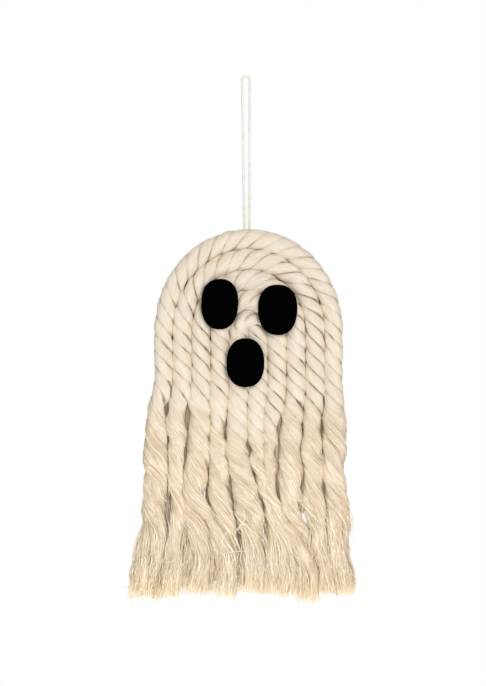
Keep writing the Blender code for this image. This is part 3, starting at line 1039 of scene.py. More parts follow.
    def bent_seams(self, z: np.ndarray) -> np.ndarray:
        """Where the columns meet.

        Args:
            z: the heights.

        Returns:
            The seams' places across, one row for each height.
        """
        even = self.even_seams(z)
        heights = [-height * MM for height, _ in self.seams]
        places = np.array([places for _, places in self.seams]) * MM
        bent = np.stack([np.interp(-z, heights, column) for column in places.T], axis=1)
        share = smooth(self.foot_z - z, self.bend_begins, self.bend_ends)
        return even + (bent - even) * share[:, None]

    def column_scale(self, points: np.ndarray, column: int) -> np.ndarray:
        """How wide a column is at the points' heights, compared with an even one."""
        even, bent = self.even_seams(points[:, 2]), self.bent_seams(points[:, 2])
        return (bent[:, column + 1] - bent[:, column]) / (even[:, column + 1] - even[:, column])

    def bend(self, points: np.ndarray) -> np.ndarray:
        """Move points of the fringe across as the seams run, and away from the partings.

        Args:
            points: points of the fringe.

        Returns:
            The points, moved.
        """
        moved = points.copy()
        z = points[:, 2]
        even, bent = self.even_seams(z), self.bent_seams(z)
        column = (points[:, 0] - even[:, 0]) / (even[:, 1] - even[:, 0])
        left = np.clip(np.floor(column), 0, even.shape[1] - 2).astype(int)
        rows = np.arange(len(z))
        width = bent[rows, left + 1] - bent[rows, left]
        moved[:, 0] = bent[rows, left] + (column - left) * width
        middle = np.exp(-(((column - self.front_column - 0.5) / self.front_width) ** 2))
        moved[:, 1] -= self.front_push * middle * smooth(self.foot_z - z, self.front_begins, self.front_ends)
        for parting in self.partings:
            first = math.floor(parting.seam) + len(self.lays)
            seam = parting.seam - math.floor(parting.seam)
            place = bent[:, first] * (1 - seam) + bent[:, first + 1] * seam
            for top, bottom, size in parting.gaps:
                away = moved[:, 0] - place
                share = (top * MM - z) / (top * MM - bottom * MM)
                window = np.clip(np.sin(np.clip(share, 0.0, 1.0) * math.pi), 0.0, 1.0) ** 0.8
                push = self.parting_scale * (size * MM) * window * np.exp(-((away / self.parting_reach) ** 2))
                moved[:, 0] += np.tanh(away / self.parting_softness) * push
        return moved


# Ropes


@dataclass(frozen=True)
class StrandPath:
    """A line that a strand follows, with what the sweep needs at each of its points."""

    points: np.ndarray
    outward: np.ndarray
    core: np.ndarray
    girth: np.ndarray
    reach: np.ndarray
    down: np.ndarray
    run: np.ndarray
    fan: Any = 0.0

    def take(self, kept: np.ndarray, fan: float = 0.0) -> "StrandPath":
        """Some of the points, with locks that fan out round them where the fan is above 0."""
        arrays = (self.points, self.outward, self.core, self.girth, self.reach, self.down, self.run)
        return StrandPath(*(array[kept] for array in arrays), np.full(len(kept), fan))


def path_mesh(paths: Sequence[StrandPath]) -> bpy.types.Mesh:
    """A mesh of loose edges that carries the paths to the strand tool.

    Args:
        paths: the paths.

    Returns:
        The mesh.
    """
    mesh = line_mesh([path.points for path in paths])
    for name in ("girth", "reach", "fan", "down", "run", "outward", "core"):
        values = np.concatenate([getattr(path, name) for path in paths]).astype(np.float32)
        kind, key = ("FLOAT", "value") if values.ndim == 1 else ("FLOAT_VECTOR", "vector")
        mesh.attributes.new(name, kind, "POINT").data.foreach_set(key, values.ravel())
    return mesh


@dataclass(frozen=True)
class RopeArch:
    """One rope of three strands, laid over the head and opened in the fringe."""

    row: RopeRow
    index: int
    strands: str = "abc"
    step: float = 1.3 * MM
    lock_step: float = 3.9 * MM
    sides: int = 22
    notch: float = 0.34
    locks: int = 60
    hairs: int = 110
    lock_radius: float = 0.24 * MM
    fan: float = 1.3
    envelope_top: float = 0.45
    laid_girth: float = 0.565
    merged_girth: float = 0.68
    open_girth: float = 0.61
    laid_depth: float = 1.0
    open_depth: float = 1.08
    laid_width: float = 1.12
    open_width: float = 1.05
    outer_laid: float = 0.98
    outer_open: float = 1.03
    squareness: float = 2.1
    fibre_turn: float = -260.0
    left_twist: float = 0.45
    untwisted: tuple[float, float] = (0.5, 0.85)
    opening_length: float = 20.0 * MM
    merged_at: float = 0.13
    parted: tuple[float, float] = (0.35, 0.7)
    squeeze: float = 0.6
    lock_reach: float = 1.16
    tip_reach: float = 0.1
    envelope_reach: float = 1.17
    thinned: float = 0.55
    thins: tuple[float, float] = (0.78, 0.97)
    stray_sizes: tuple[float, float] = (1.7 * MM, 1.0 * MM)
    column_stray: float = 0.25
    strand_stray: float = 0.6
    waves: tuple[tuple[float, float, float], ...] = ((1.0, 52, 80), (0.45, 22, 34))
    crimp: float = 0.4 * MM
    crimp_length: tuple[float, float] = (17, 22)
    bare_end: float = 5.0 * MM

    def centre_values(self) -> dict[str, np.ndarray]:
        """The rope's own centre line from the left tip to the right tip, and what varies along it.

        Returns:
            Arrays of the points, directions, turns, half widths and how far each point is down its tail.
        """
        row, lay = self.row, self.row.lays[self.index]
        s, laid = spaced(row.laid_line(self.index), self.step)
        share = s / s[-1]
        turn = (s - lay.opens_below - lay.first_groove) / lay.turn + 4 * lay.drift * share * (1 - share)
        left, right = (self.tail_values(side) for side in Side)
        points = np.concatenate([left["points"][::-1], laid, right["points"]])
        height = np.clip((points[:, 2] - row.spring_z) / row.rise(self.index), 0.0, 1.0)
        swell = (1 + (row.crown_swell - 1) * height**2) * (1 + row.spread(points[:, 2]))
        tightest = row.half_span(self.index) ** 2 / row.rise(self.index)
        radius = row.rope_diameter / 2
        inside = min(1.0, row.tightest_inside * tightest / (radius * row.crown_swell))
        along = np.gradient(points, axis=0)
        nothing = np.zeros_like(s)
        return {
            "points": points,
            "along": along / np.linalg.norm(along, axis=1)[:, None],
            "turn": np.concatenate([turn[0] - left["opened"][::-1], turn, turn[-1] + right["opened"]]),
            "outside": radius * swell,
            "inside": radius * swell * (1 - (1 - inside) * height),
            "below": np.concatenate([left["below"][::-1], nothing, right["below"]]),
            "down": np.concatenate([left["down"][::-1], nothing, right["down"]]),
            "laid": np.concatenate([left["below"] * 0.0, s, right["below"] * 0.0 + s[-1]]),
        }

    def column(self, side: Side) -> int:
        """The column that a tail hangs in, counted from the left."""
        return self.index if side is Side.LEFT else 2 * len(self.row.lays) - 1 - self.index

    def tail_values(self, side: Side) -> dict[str, np.ndarray]:
        """The centre line of a tail from the opening down.

        Args:
            side: the leg that it hangs from.

        Returns:
            Arrays of the points, the distance below the opening, the same as a share and the turns.
        """
        lay = self.row.lays[self.index]
        top = self.row.foot_z - lay.opens_below
        length = top - self.row.tail_ends[self.column(side)] * MM
        below = np.linspace(self.step, length, int(length / self.step))
        rate = self.left_twist * (1 - smooth(below / length, *self.untwisted))
        rate += (1 - self.left_twist) * np.exp(-below / self.opening_length)
        opened = np.cumsum(rate) * self.step / lay.turn
        points = self.row.leg_points(side, self.index, top - below)
        return {"points": points, "below": below, "down": below / length, "opened": opened}

    def strand_paths(self, strand: int) -> list[StrandPath]:
        """The paths of one strand: its body from tip to tip, and the two tails that its locks follow.

        Args:
            strand: 0, 1 or 2.

        Returns:
            The body's path, then the left and the right tail's.
        """
        v = self.centre_values()
        down = v["down"]
        opened = smooth(down, 0.0, self.merged_at)
        angle = -math.pi / 2 + (strand + 0.5) * TURN / len(self.strands) - TURN * v["turn"]
        backward = np.array([0.0, 1.0, 0.0])
        inward = np.cross(np.broadcast_to(backward, v["along"].shape), v["along"])
        share = self.laid_girth + (self.merged_girth - self.laid_girth) * opened
        share += (self.open_girth - self.merged_girth) * smooth(down, *self.parted)
        width = self.laid_width + (self.open_width - self.laid_width) * opened
        depth = self.laid_depth + (self.open_depth - self.laid_depth) * opened
        outer = self.outer_laid + (self.outer_open - self.outer_laid) * opened if self.index == 0 else width
        side = np.where(np.cos(angle) > 0, v["inside"] * (width - share), v["outside"] * (outer - share))
        shift = inward * (side * np.cos(angle))[:, None]
        shift += backward * (v["outside"] * (depth - share) * np.sin(angle))[:, None]
        outward = shift / np.linalg.norm(shift, axis=1)[:, None]
        centre = v["points"].copy()
        half = len(centre) // 2
        scale = np.ones(len(centre))
        for leg, part in zip(Side, (slice(0, half), slice(half, None))):
            centre[part] += self.wander(strand, leg, v["below"][part], down[part])
            scale[part] = self.row.column_scale(centre[part], self.column(leg)) ** self.squeeze
        points, core = self.row.bend(centre + shift), self.row.bend(centre)
        girth = v["outside"] * share * scale
        reach = girth * (self.lock_reach + self.tip_reach * smooth(down, self.parted[1], 1.0))
        girth = girth * (1 - self.thinned * smooth(down, *self.thins))
        body = StrandPath(points, outward, core, girth, reach, down, v["laid"])
        tail = replace(body, run=v["below"])
        envelope = replace(tail, points=core, reach=v["outside"] * scale * self.envelope_reach)
        whole = np.flatnonzero((down <= 0) | (v["below"] * (1 / np.maximum(down, 0.01) - 1) > self.bare_end))
        paths = [body.take(whole)]
        stride = round(self.lock_step / self.step)
        ends = np.flatnonzero(v["below"] > 0)
        for part in (ends[ends < half][::-1], ends[ends > half]):
            kept = part[::stride]
            kept = kept if kept[-1] == part[-1] else np.append(kept, part[-1])
            paths.append(tail.take(kept, self.fan))
            if strand == 0:
                paths.append(envelope.take(kept[down[kept] > self.envelope_top], math.pi))
        return paths

    def wander(self, strand: int, side: Side, below: np.ndarray, down: np.ndarray) -> np.ndarray:
        """How far a strand of the fringe strays from its even place.

        Args:
            strand: the strand.
            side: the leg that it hangs from.
            below: how far each point is below the opening.
            down: the same as a share of the tail.

        Returns:
            An offset for each point.
        """
        offset = np.zeros((len(below), 3))
        shares = {f"column {self.index} {side.name}": self.column_stray}
        shares[f"strand {self.index} {strand} {side.name}"] = self.strand_stray
        for name, share in shares.items():
            draw = random.Random(name)
            for axis, size in enumerate(self.stray_sizes):
                for part, length in [(part, draw.uniform(low, high) * MM) for part, low, high in self.waves]:
                    wave = np.sin(TURN * below / length + draw.uniform(0, TURN))
                    offset[:, axis] += size * share * part * wave * smooth(down, 0.03, 0.45)
        phase = TURN * below / (draw.uniform(*self.crimp_length) * MM) + draw.uniform(0, TURN)
        size = self.crimp * smooth(down, 0.0, 0.1) * (1 - 0.6 * smooth(down, 0.6, 1.0))
        offset[:, 0] += size * np.sin(phase)
        offset[:, 1] += size * np.cos(phase)
        return offset

    def settings(self, seed: int) -> dict[str, Any]:
        """The strand tool's inputs.

        Args:
            seed: the seed of its draws.

        Returns:
            The inputs by name.
        """
        return {
            "Sides": self.sides,
            "Notch": self.notch,
            "Squareness": self.squareness,
            "Locks": self.locks,
            "Hairs": self.hairs,
            "Lock Radius": self.lock_radius * 1.0,
            "Fibre Turn": self.fibre_turn,
            "Shade": 0.0,
            "Seed": seed,
            "Material": NATURAL_COTTON.material(),
        }

    def build(self, tool: StrandTool) -> list[bpy.types.Object]:
        """Make the rope's strands.

        Args:
            tool: the sweep for strands and locks.

        Returns:
            The pieces.
        """
        pieces = []
        for strand, letter in enumerate(self.strands):
            node = f"rope_{self.index + 1}_strand_{letter}"
            values = self.settings(seed=100 * self.index + 10 * strand)
            piece = tool.make(f"{node}_cotton", path_mesh(self.strand_paths(strand)), values)
            pieces.append(declare(piece, "cotton_rope", node))
        return pieces


@dataclass(frozen=True)
class InnerFibres:
    """Combed-out fibres at the back of the fringe that fill the seams between the ropes."""

    row: RopeRow
    rear_y: float = -6.2 * MM
    girth: float = 1.8 * MM
    tip_girth: float = 1.2 * MM
    places: tuple[int, ...] = (-8, -6, -4, -2, 0, 2, 4, 5, 6, 8)
    above: float = 1.0 * MM
    shorter: float = 14.0 * MM
    stop_seam: int = 6
    stop_length: float = 62.0 * MM
    seed: int = 900
    sides: int = 12
    # Painted shade: these fibres lie deep between the columns and are coloured darker.
    shade: float = 0.28
    locks: int = 14
    hairs: int = 30

    def path(self, seam: int, arch: RopeArch) -> list[StrandPath]:
        """The line behind one seam, for the body and for the locks.

        Args:
            seam: the place across in half pitches, 0 in the middle.
            arch: a rope, which gives the steps.

        Returns:
            The body's path and the locks' path.
        """
        row = self.row
        length = self.stop_length if seam == self.stop_seam else row.fringe_length - self.shorter
        below = np.linspace(0.0, length, int(length / arch.step))
        z = row.foot_z + self.above - below
        x = row.head_centre_x + seam * row.pitch / 2 * (1 + row.spread(z)) + row.drift(z)
        points = row.bend(np.stack([x, np.full_like(z, self.rear_y), z], axis=1))
        down = np.maximum(below / row.fringe_length, 0.02)
        girth = self.girth + (self.tip_girth - self.girth) * smooth(down, 0.6, 1.0)
        outward = np.tile([0.0, 1.0, 0.0], (len(z), 1))
        line = StrandPath(points, outward, points, girth, girth, down, np.zeros_like(below))
        whole = np.arange(len(z))
        return [line.take(whole), line.take(whole[:: round(arch.lock_step / arch.step)], math.pi)]

    def build(self, tool: StrandTool, arch: RopeArch) -> bpy.types.Object:
        """Make the fibres with the strands' own tool.

        Args:
            tool: the sweep for strands and locks.
            arch: a rope, which gives the steps and the finer inputs.

        Returns:
            The piece.
        """
        paths = [path for seam in self.places for path in self.path(seam, arch)]
        own = {"Locks": self.locks, "Hairs": self.hairs, "Sides": self.sides, "Shade": self.shade}
        piece = tool.make("inner_fibres", path_mesh(paths), arch.settings(self.seed) | own)
        return declare(piece, "cotton_rope")


@dataclass(frozen=True)
class StrayHairs:
    """Single long hairs that stand off the fringe, each given by the places it passes, in millimetres."""

    radius: float = 0.26 * MM
    stand_off: float = 4.5 * MM
    bends: int = 10
    routes: tuple[tuple[Point, ...], ...] = (
        ((-1.7, -17.0, -273.1), (-1.1, -18.5, -279.4), (-5.9, -18.0, -285.7), (-7.5, -16.5, -288.5)),
        ((-15.9, -17.0, -301.5), (-8.0, -18.5, -299.4), (3.0, -17.0, -298.9)),
        ((-43.8, -17.0, -308.9), (-38.5, -18.5, -306.8), (-34.3, -17.0, -301.5)),
        ((37.3, -17.0, -305.7), (38.8, -18.5, -306.2), (43.6, -17.0, -299.4)),
        ((64.1, -15.0, -313.6), (68.8, -15.0, -314.6)),
        ((-78.5, -10.0, -323.0), (-75.0, -11.0, -321.5), (-71.0, -11.0, -317.0)),
        ((-71.7, -10.0, -326.5), (-72.2, -11.0, -331.0), (-71.7, -10.0, -335.5)),
        ((-52.7, -17.0, -264.6), (-51.0, -18.0, -267.0), (-49.1, -16.5, -267.8)),
        ((63.5, -11.0, -277.5), (67.0, -12.0, -284.6), (68.2, -10.0, -293.0)),
        ((-10.0, -16.5, -285.0), (-14.5, -17.8, -291.0), (-15.3, -17.0, -297.3)),
        ((-5.0, -17.5, -286.0), (-2.0, -18.2, -283.0), (1.5, -17.5, -282.0)),
        ((-49.6, -17.0, -306.8), (-45.0, -18.0, -304.5), (-41.7, -17.0, -302.5)),
        ((-47.5, -16.0, -257.1), (-48.5, -17.0, -261.0), (-48.0, -16.0, -264.6)),
    )

    def build(self) -> bpy.types.Object:
        """Bend each hair through its places and sweep it.

        Returns:
            The piece.
        """
        tool = FibreTool("single_hairs", {"Bends": "Int", "Radius": "Float"})
        inputs = {"Curve": tool.curves()}
        bent = tool.graph.use("GeometryNodeCurveSplineType", inputs, spline_type="CATMULL_ROM")
        inputs = {"Curve": bent, "Count": tool.given("Bends")}
        even = tool.graph.use("GeometryNodeResampleCurve", inputs)
        radius = tool.given("Radius") * tool.share.ramp(0.5, 1.0, 1.0, 0.5)
        tool.finish(tool.fibres(even, radius, tool.draw(0.6, 1.0, 1), 0.0))
        lines = [[(x * MM, y * MM - self.stand_off, z * MM) for x, y, z in route] for route in self.routes]
        values = {"Bends": self.bends, "Radius": self.radius, "Material": NATURAL_COTTON.material()}
        return declare(tool.make("stray_hairs", line_mesh(lines), values), "cotton_rope")


# Hanging loop


@dataclass(frozen=True)
class HangingLoop:
    """The thin twisted cord that the ghost hangs by."""

    diameter: float = 1.8 * MM
    plies: int = 3
    ply_radius: float = 0.53 * MM
    ply_offset: float = 0.93
    ply_sides: int = 8
    curve_steps: int = 16
    lay: float = 5.2 * MM
    step: float = 0.55 * MM
    route: tuple[tuple[float, float], ...] = (
        (-0.0011, -0.114), (-0.0011, -0.108), (-0.0011, -0.102), (-0.0011, -0.095),
        (-0.0012, -0.086), (-0.00135, -0.074), (-0.0015, -0.062), (-0.00165, -0.05),
        (-0.0018, -0.038), (-0.002, -0.026), (-0.0022, -0.014), (-0.00233, -0.006),
        (-0.00235, -0.00145), (-0.00204, -0.00027), (-0.00117, 0.00059), (0.0, 0.0009),
        (0.00117, 0.00059), (0.00204, -0.00027), (0.00235, -0.00145), (0.00233, -0.006),
        (0.0023, -0.014), (0.00225, -0.026), (0.0022, -0.038), (0.0022, -0.05),
        (0.0022, -0.062), (0.00215, -0.074), (0.0021, -0.086), (0.0021, -0.095),
        (0.0021, -0.102), (0.0021, -0.108), (0.0021, -0.114),
    )  # fmt: skip

    def centre_line(self) -> list[Vector]:
        """Evenly spaced points of a smooth curve through the route.

        Returns:
            The points.
        """
        route = [Vector((x, 0.0, z)) for x, z in self.route]
        padded = [route[0] * 2 - route[1], *route, route[-1] * 2 - route[-2]]
        close: list[Vector] = []
        for a, b, c, d in zip(padded, padded[1:], padded[2:], padded[3:]):
            for i in range(self.curve_steps):
                t = i / self.curve_steps
                bend = (2 * a - 5 * b + 4 * c - d) * t**2 + (3 * b - a - 3 * c + d) * t**3
                close.append(0.5 * (2 * b + (c - a) * t + bend))
        close.append(route[-1])
        return [Vector(p) for p in spaced(np.array(close), self.step)[1]]

    def tool(self) -> GeometryTool:
        """The tree that winds plies round the centre line.

        Returns:
            The tool.
        """
        tool = GeometryTool("laid_cord", {"Plies": "Int", "Ply Radius": "Float", "Lay": "Float"})
        g, count, radius = tool.graph, tool.given("Plies"), tool.given("Ply Radius")
        inputs = {"Geometry": tool.curves(), "Amount": count}
        copies = g.node("GeometryNodeDuplicateElements", inputs, domain="SPLINE")
        number, plies = (Value(g, copies.outputs[name]) for name in ("Duplicate Index", "Geometry"))
        length = g.use("GeometryNodeSplineParameter", {}, "Length")
        angle = (number / count - length / tool.given("Lay")) * TURN
        normal = g.use("GeometryNodeInputNormal", {}, "Normal")
        plies = tool.move(plies, tool.across(angle, normal) * (radius * self.ply_offset))
        mesh, section, run, _ = tool.sweep(plies, tool.circle(self.ply_sides), radius)
        mesh = tool.lay_out(mesh, section * (0.5 * MM), run)
        tool.finish(tool.store(mesh, "tint", 0.5))
        return tool

    def build(self) -> bpy.types.Object:
        """Returns:
            The piece.
        """
        line = self.centre_line()
        values = {"Plies": self.plies, "Ply Radius": self.ply_radius, "Lay": self.lay}
        values["Material"] = LOOP_COTTON.material()
        piece = self.tool().make("hanging_loop_cord", line_mesh([line]), values)
        declare(piece, "white_cord", "hanging_loop")
        return piece


# Felt pieces


@dataclass(frozen=True)
class FeltPlate:
    """A flat piece cut from felt, with softly rounded edges."""

    row: RopeRow
    name: str
    node: str
    rests_on: str
    slot: str = "white_felt"
    finish: FeltFinish = WHITE_FELT
    thickness: float = 1.5 * MM
    edge: float = 0.35 * MM
    edge_steps: int = 5
    insets: tuple[float, ...] = (0.12, 0.3, 0.55, 0.8)

    @property
    def rear_y(self) -> float:
        """Where the felt's rear lies."""
        return -1.2 * MM

    def outline(self) -> list[tuple[float, float]]:
        """The outline in the XZ plane."""
        raise NotImplementedError

    def surface_shift(self, x: float, z: float) -> float:
        """How far the felt bulges forward at a place."""
        return 0.0

    def rings(self) -> list[list[Point]]:
        """Rings of points from the middle of the rear over the edge to the middle of the front.

        Returns:
            The rings.
        """
        outline = self.outline()
        middle = tuple(sum(place[axis] for place in outline) / len(outline) for axis in (0, 1))
        front = self.rear_y - self.thickness
        radius = max(math.dist(middle, point) for point in outline)
        angles = [math.pi / 2 / (self.edge_steps - 1) * i for i in range(self.edge_steps)]
        corner = [(1 - math.sin(angle), 1 - math.cos(angle)) for angle in angles]
        steps = [(share, self.rear_y) for share in reversed(self.insets)]
        steps += [(self.edge / radius * inset, self.rear_y - self.edge * depth) for inset, depth in corner]
        steps += [(self.edge / radius * inset, front + self.edge * depth) for depth, inset in corner]
        steps += [(share, front) for share in self.insets]
        rings = []
        for inset, y in steps:
            places = [(x + (middle[0] - x) * inset, z + (middle[1] - z) * inset) for x, z in outline]
            rings.append([(x, y - self.surface_shift(x, z), z) for x, z in places])
        return rings

    def build(self) -> bpy.types.Object:
        """Returns:
            The piece.
        """
        bm = bmesh.new()
        rows = [[bm.verts.new(p) for p in ring] for ring in self.rings()]
        for row, following in zip(rows, rows[1:]):
            for i, j in enumerate([*range(1, len(row)), 0]):
                bm.faces.new((row[i], row[j], following[j], following[i]))
        for row in (rows[0], rows[-1]):
            centre = bm.verts.new(sum((v.co for v in row), Vector()) / len(row))
            for a, b in zip(row, row[1:] + row[:1]):
                bm.faces.new((a, b, centre))
        piece = add_piece(self.name, smooth_mesh(bm, self.name), self.finish.material())
        declare(piece, self.slot, self.node)
        outline = self.outline()
        size = tuple(max(values) - min(values) for values in zip(*outline))
        return piece


@dataclass(frozen=True)
class FeltOval(FeltPlate):
    """An eye or the mouth: an oval of black felt over the ropes, placed from the head's centre."""

    slot: str = "black_felt"
    finish: FeltFinish = BLACK_FELT
    thickness: float = 2.0 * MM
    x: float = 0.0
    z: float = 0.0
    half_width: float = 12.0 * MM
    half_height: float = 16.0 * MM
    lean: float = 0.0
    squareness: float = 2.3
    egg: float = 0.0
    ridge: float = 0.12 * MM
    above_rope: float = 0.5 * MM
    points: int = 120

    @property
    def rear_y(self) -> float:
        """Where the felt's rear lies, in front of the ropes."""
        return self.row.rope_y - self.row.rope_diameter / 2 - self.above_rope

    @property
    def middle_x(self) -> float:
        """The middle across."""
        return self.row.head_centre_x + self.x

    def outline(self) -> list[tuple[float, float]]:
        """The outline of a slightly squared egg.

        Returns:
            Points in the XZ plane.
        """
        points = []
        lean_c, lean_s = math.cos(math.radians(self.lean)), math.sin(math.radians(self.lean))
        for i in range(self.points):
            angle = TURN * i / self.points
            c, s = math.cos(angle), math.sin(angle)
            x = self.half_width * math.copysign(abs(c) ** (2 / self.squareness), c)
            z = self.half_height * math.copysign(abs(s) ** (2 / self.squareness), s)
            x *= 1 + self.egg * z / self.half_height
            middle_z = self.row.spring_z + self.z
            points.append((self.middle_x + x * lean_c + z * lean_s, middle_z + z * lean_c - x * lean_s))
        return points

    def surface_shift(self, x: float, z: float) -> float:
        """The felt stands a little prouder over the ropes' crests."""
        return self.ridge * math.cos(TURN * (x - self.middle_x) / self.row.pitch)


@dataclass(frozen=True)
class FeltBacking(FeltPlate):
    """The felt sheet that the ropes are fixed to."""

    inset: float = 1.5 * MM
    above_foot: float = 1.0 * MM
    arch_steps: int = 72
    side_steps: int = 20
    foot_steps: int = 40

    def outline(self) -> list[tuple[float, float]]:
        """An arch with straight sides.

        Returns:
            Points in the XZ plane.
        """
        x, top, foot = self.row.head_centre_x, self.row.spring_z, self.row.foot_z + self.above_foot
        width = self.row.pitch * len(self.row.lays) - self.inset
        height = self.row.crown_pitch * len(self.row.lays) - self.inset
        angles = [math.pi * i / self.arch_steps for i in range(self.arch_steps + 1)]
        points = [(x + width * math.cos(angle), top + height * math.sin(angle)) for angle in angles]
        sides = self.side_steps
        points += [(points[-1][0], top + (foot - top) * i / sides) for i in range(1, sides)]
        points += [(x - width + 2 * width * i / self.foot_steps, foot) for i in range(self.foot_steps)]
        return points + [(x + width, foot + (top - foot) * i / sides) for i in range(sides)]


@dataclass(frozen=True)
class LoopPatch:
    """The felt patch over the ends of the loop, with its stitches."""

    row: RopeRow
    width: float = 18.0 * MM
    height: float = 15.0 * MM
    below_top: float = 6.5 * MM
    thickness: float = 1.5 * MM
    soft_edge: float = 0.25 * MM
    cord_radius: float = 0.9 * MM
    seat: float = 0.3 * MM
    ends: tuple[float, float] = (-1.1 * MM, 2.1 * MM)
    stitch_inset: float = 1.6 * MM
    stitch: float = 1.7 * MM
    stitch_pitch: float = 1.45
    thread: float = 0.22 * MM
    across: int = 44
    up: int = 30

    @property
    def centre(self) -> tuple[float, float]:
        """The middle of the patch in the XZ plane."""
        return sum(self.ends) / 2, -self.row.loop_drop - self.below_top - self.height / 2

    def front_y(self, x: float) -> float:
        """The side of the felt that faces the backing, humped over the cord's ends.

        Args:
            x: a place across.

        Returns:
            Where the felt lies there.
        """
        flat = -self.cord_radius
        hump = max(self.cord_radius + self.seat - abs(x - end) * 0.62 for end in self.ends)
        rise = (hump - flat) / self.cord_radius
        return flat + max(0.0, math.log1p(math.exp(6 * rise)) / 6 - 0.12) * self.cord_radius * 0.93

    def build(self) -> bpy.types.Object:
        """Returns:
            The piece.
        """
        cx, cz = self.centre
        across, up = self.across, self.up
        xs = [cx + self.width * (i / across - 0.5) for i in range(across + 1)]
        zs = [cz + self.height * (j / up - 0.5) for j in range(up + 1)]
        bm = bmesh.new()
        layers = []
        for rear in (0.0, self.thickness):
            layers.append([[bm.verts.new((x, self.front_y(x) + rear, z)) for x in xs] for z in zs])
        for grid in layers:
            for low, high in zip(grid, grid[1:]):
                for i in range(across):
                    bm.faces.new((low[i], low[i + 1], high[i + 1], high[i]))
        first, second = layers
        rim = [(0, i) for i in range(across)] + [(j, across) for j in range(up)]
        rim += [(up, i) for i in range(across, 0, -1)] + [(j, 0) for j in range(up, 0, -1)]
        for (j, i), (l, k) in zip(rim, rim[1:] + rim[:1]):
            bm.faces.new((first[j][i], first[l][k], second[l][k], second[j][i]))
        piece = add_piece("loop_patch_felt", smooth_mesh(bm, "loop_patch_felt"), WHITE_FELT.material())
        bevel = piece.modifiers.new("soft_edge", "BEVEL")
        bevel.width = self.soft_edge
        bevel.segments = 3
        bevel.limit_method = "ANGLE"
        bevel.angle_limit = math.radians(50)
        declare(piece, "white_felt", "loop_patch")
        return piece

    def stitch_tool(self) -> GeometryTool:
        """The tree that puts a short bowed thread at each place.

        Returns:
            The tool.
        """
        tool = GeometryTool("stitches", {"Length": "Float", "Thread": "Float"})
        g, length, thickness = tool.graph, tool.given("Length"), tool.given("Thread")
        ends = {"Start": g.vector(length * -0.5, 0.0, 0.0), "End": g.vector(length * 0.5, 0.0, 0.0)}
        line = g.use("GeometryNodeCurvePrimitiveLine", ends, mode="POINTS")
        line = g.use("GeometryNodeResampleCurve", {"Curve": line, "Count": 9}, mode="COUNT")
        bow = (tool.share * math.pi).one("SINE") * (thickness * 2.2) - thickness
        line = tool.move(line, g.vector(0.0, bow, 0.0))
        thread, section, run, _ = tool.sweep(line, tool.circle(7), thickness)
        inputs = {"Vector": tool.attribute("heading", True)}
        turned = g.use("FunctionNodeAlignRotationToVector", inputs, axis="X")
        points = g.use("GeometryNodeMeshToPoints", {"Mesh": tool.given("Geometry")})
        inputs = {"Points": points, "Instance": thread, "Rotation": turned}
        placed = g.use("GeometryNodeInstanceOnPoints", inputs)
        real = g.use("GeometryNodeRealizeInstances", {"Geometry": placed})
        tool.finish(tool.store(tool.lay_out(real, section * (0.3 * MM), run), "tint", 0.5))
        return tool

    def stitches(self) -> bpy.types.Object:
        """Make the row of stitches round the patch.

        Returns:
            The piece.
        """
        cx, cz = self.centre
        half_w, half_h = self.width / 2 - self.stitch_inset, self.height / 2 - self.stitch_inset
        bm = bmesh.new()
        corners = [(-half_w, -half_h), (half_w, -half_h), (half_w, half_h), (-half_w, half_h)]
        heading = bm.verts.layers.float_vector.new("heading")
        for (ax, az), (bx, bz) in zip(corners, corners[1:] + corners[:1]):
            length = math.dist((ax, az), (bx, bz))
            count = round(length / (self.stitch * self.stitch_pitch))
            for i in range(count):
                share = (i + 0.5) / count
                x, z = cx + ax + (bx - ax) * share, cz + az + (bz - az) * share
                vertex = bm.verts.new((x, self.front_y(x) + self.thickness, z))
                vertex[heading] = ((bx - ax) / length, 0.0, (bz - az) / length)
        host = smooth_mesh(bm, "stitch_places")
        values = {"Length": self.stitch, "Thread": self.thread, "Material": LOOP_COTTON.material()}
        return declare(self.stitch_tool().make("loop_patch_stitches", host, values), "white_cord")


# Studio


@dataclass(frozen=True)
class SoftLamp:
    """A square soft light that looks at the part, and that the camera doesn't see."""

    name: str
    place: Point
    size: float
    power: float
    aim: Point = (0.0, 0.0, -0.2)

    def build(self) -> None:
        """Put the light in the scene."""
        light = bpy.data.lights.new(self.name, "AREA")
        light.size = self.size
        light.energy = self.power
        lamp = bpy.data.objects.new(self.name, light)
        lamp.location = self.place
        lamp.rotation_euler = (Vector(self.aim) - lamp.location).to_track_quat("-Z", "Y").to_euler()
        lamp.visible_camera = False
        bpy.context.scene.collection.objects.link(lamp)


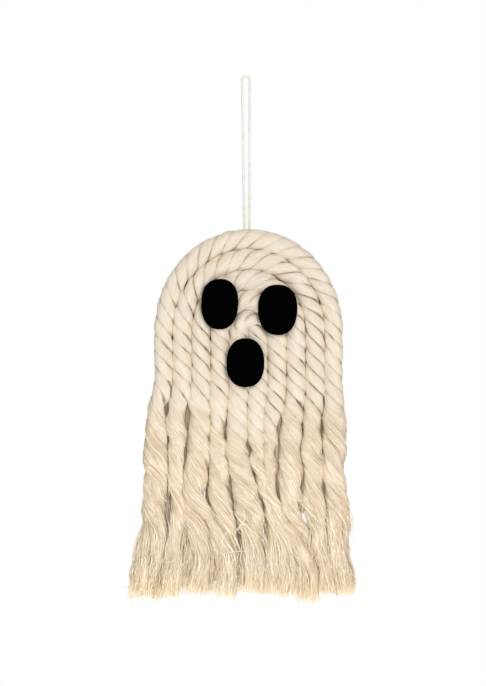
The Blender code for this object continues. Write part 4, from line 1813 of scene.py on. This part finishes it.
@dataclass(frozen=True)
class Studio:
    """Camera, lamps, pale floor and white surroundings."""

    mm_per_pixel: float = 0.6316
    picture: tuple[int, int] = (486, 686)
    origin_pixel: tuple[float, float] = (246.0, 76.0)
    distance: float = 1.6
    plane_y: float = -0.010
    sensor_height: float = 24.0
    floor_z: float = -0.41
    floor_size: float = 8.0
    ambient: float = 0.42
    lamps: tuple[SoftLamp, ...] = (
        SoftLamp("key", (0.7, -1.5, 0.45), 0.9, 13.6),
        SoftLamp("fill", (-1.1, -1.3, 0.1), 1.0, 5.5),
        SoftLamp("back", (-0.3, 1.7, 0.7), 1.2, 16.0),
        SoftLamp("low", (0.0, -0.13, -0.398), 0.2, 0.21),
    )

    def camera(self) -> None:
        """Set up the camera that sees the part as the picture does."""
        data = bpy.data.cameras.new("camera")
        data.sensor_fit = "VERTICAL"
        data.sensor_height = self.sensor_height
        data.lens = self.sensor_height * self.distance / (self.picture[1] * self.mm_per_pixel * MM)
        camera = bpy.data.objects.new("camera", data)
        x = (self.picture[0] / 2 - self.origin_pixel[0]) * self.mm_per_pixel * MM
        z = (self.origin_pixel[1] - self.picture[1] / 2) * self.mm_per_pixel * MM
        camera.location = (x, self.plane_y - self.distance, z)
        camera.rotation_euler = (math.pi / 2, 0.0, 0.0)
        bpy.context.scene.collection.objects.link(camera)
        bpy.context.scene.camera = camera

    def surroundings(self) -> None:
        """White world that lights the part softly, the lamps and the floor."""
        bpy.context.scene.view_settings.view_transform = "Standard"
        world = bpy.data.worlds.new("white_room")
        world.use_nodes = True
        bpy.context.scene.world = world
        background = world.node_tree.nodes["Background"]
        background.inputs["Color"].default_value = WHITE
        strength = seen_ray(Graph(world.node_tree)) * (1.0 - self.ambient) + self.ambient
        world.node_tree.links.new(strength.socket, background.inputs["Strength"])
        for lamp in self.lamps:
            lamp.build()
        half = self.floor_size / 2
        mesh = bpy.data.meshes.new("floor")
        corners = [(-half, -half), (half, -half), (half, half), (-half, half)]
        mesh.from_pydata([(x, y, self.floor_z) for x, y in corners], [], [(0, 1, 2, 3)])
        add_piece("floor", mesh, PALE_FLOOR.material())


def main() -> None:
    """Build the camera, the cord, the ropes, the felt and the studio."""
    logging.basicConfig(level=logging.INFO, format="%(name)s: %(message)s")
    studio = Studio()
    studio.camera()
    report(HangingLoop().build())
    row = RopeRow()
    tool = StrandTool()
    for index in range(len(row.lays)):
        for piece in RopeArch(row, index).build(tool):
            report(piece)
    report(InnerFibres(row).build(tool, RopeArch(row, 0)))
    report(StrayHairs().build())
    ovals = {
        ("left_eye", "rope_4_strand_a"): (-18.15 * MM, 16.9 * MM, 11.7 * MM, 15.9 * MM, 2, 0.03),
        ("right_eye", "rope_4_strand_b"): (18.3 * MM, 13.3 * MM, 12.4 * MM, 15.9 * MM, 0, 0.03),
        ("mouth", "rope_5_strand_a"): (-1.95 * MM, -19.9 * MM, 11.9 * MM, 15.4 * MM, 1, -0.02),
    }
    for (node, under), (x, z, half_width, half_height, lean, egg) in ovals.items():
        oval = FeltOval(
            row, f"{node}_felt", node, under,
            x=x, z=z, half_width=half_width, half_height=half_height, lean=lean, egg=egg,
        )  # fmt: skip
        report(oval.build())
    report(FeltBacking(row, "felt_backing_sheet", "felt_backing", "rope_1_strand_a").build())
    patch = LoopPatch(row)
    report(patch.build())
    report(patch.stitches())
    studio.surroundings()


if __name__ == "__main__":
    main()
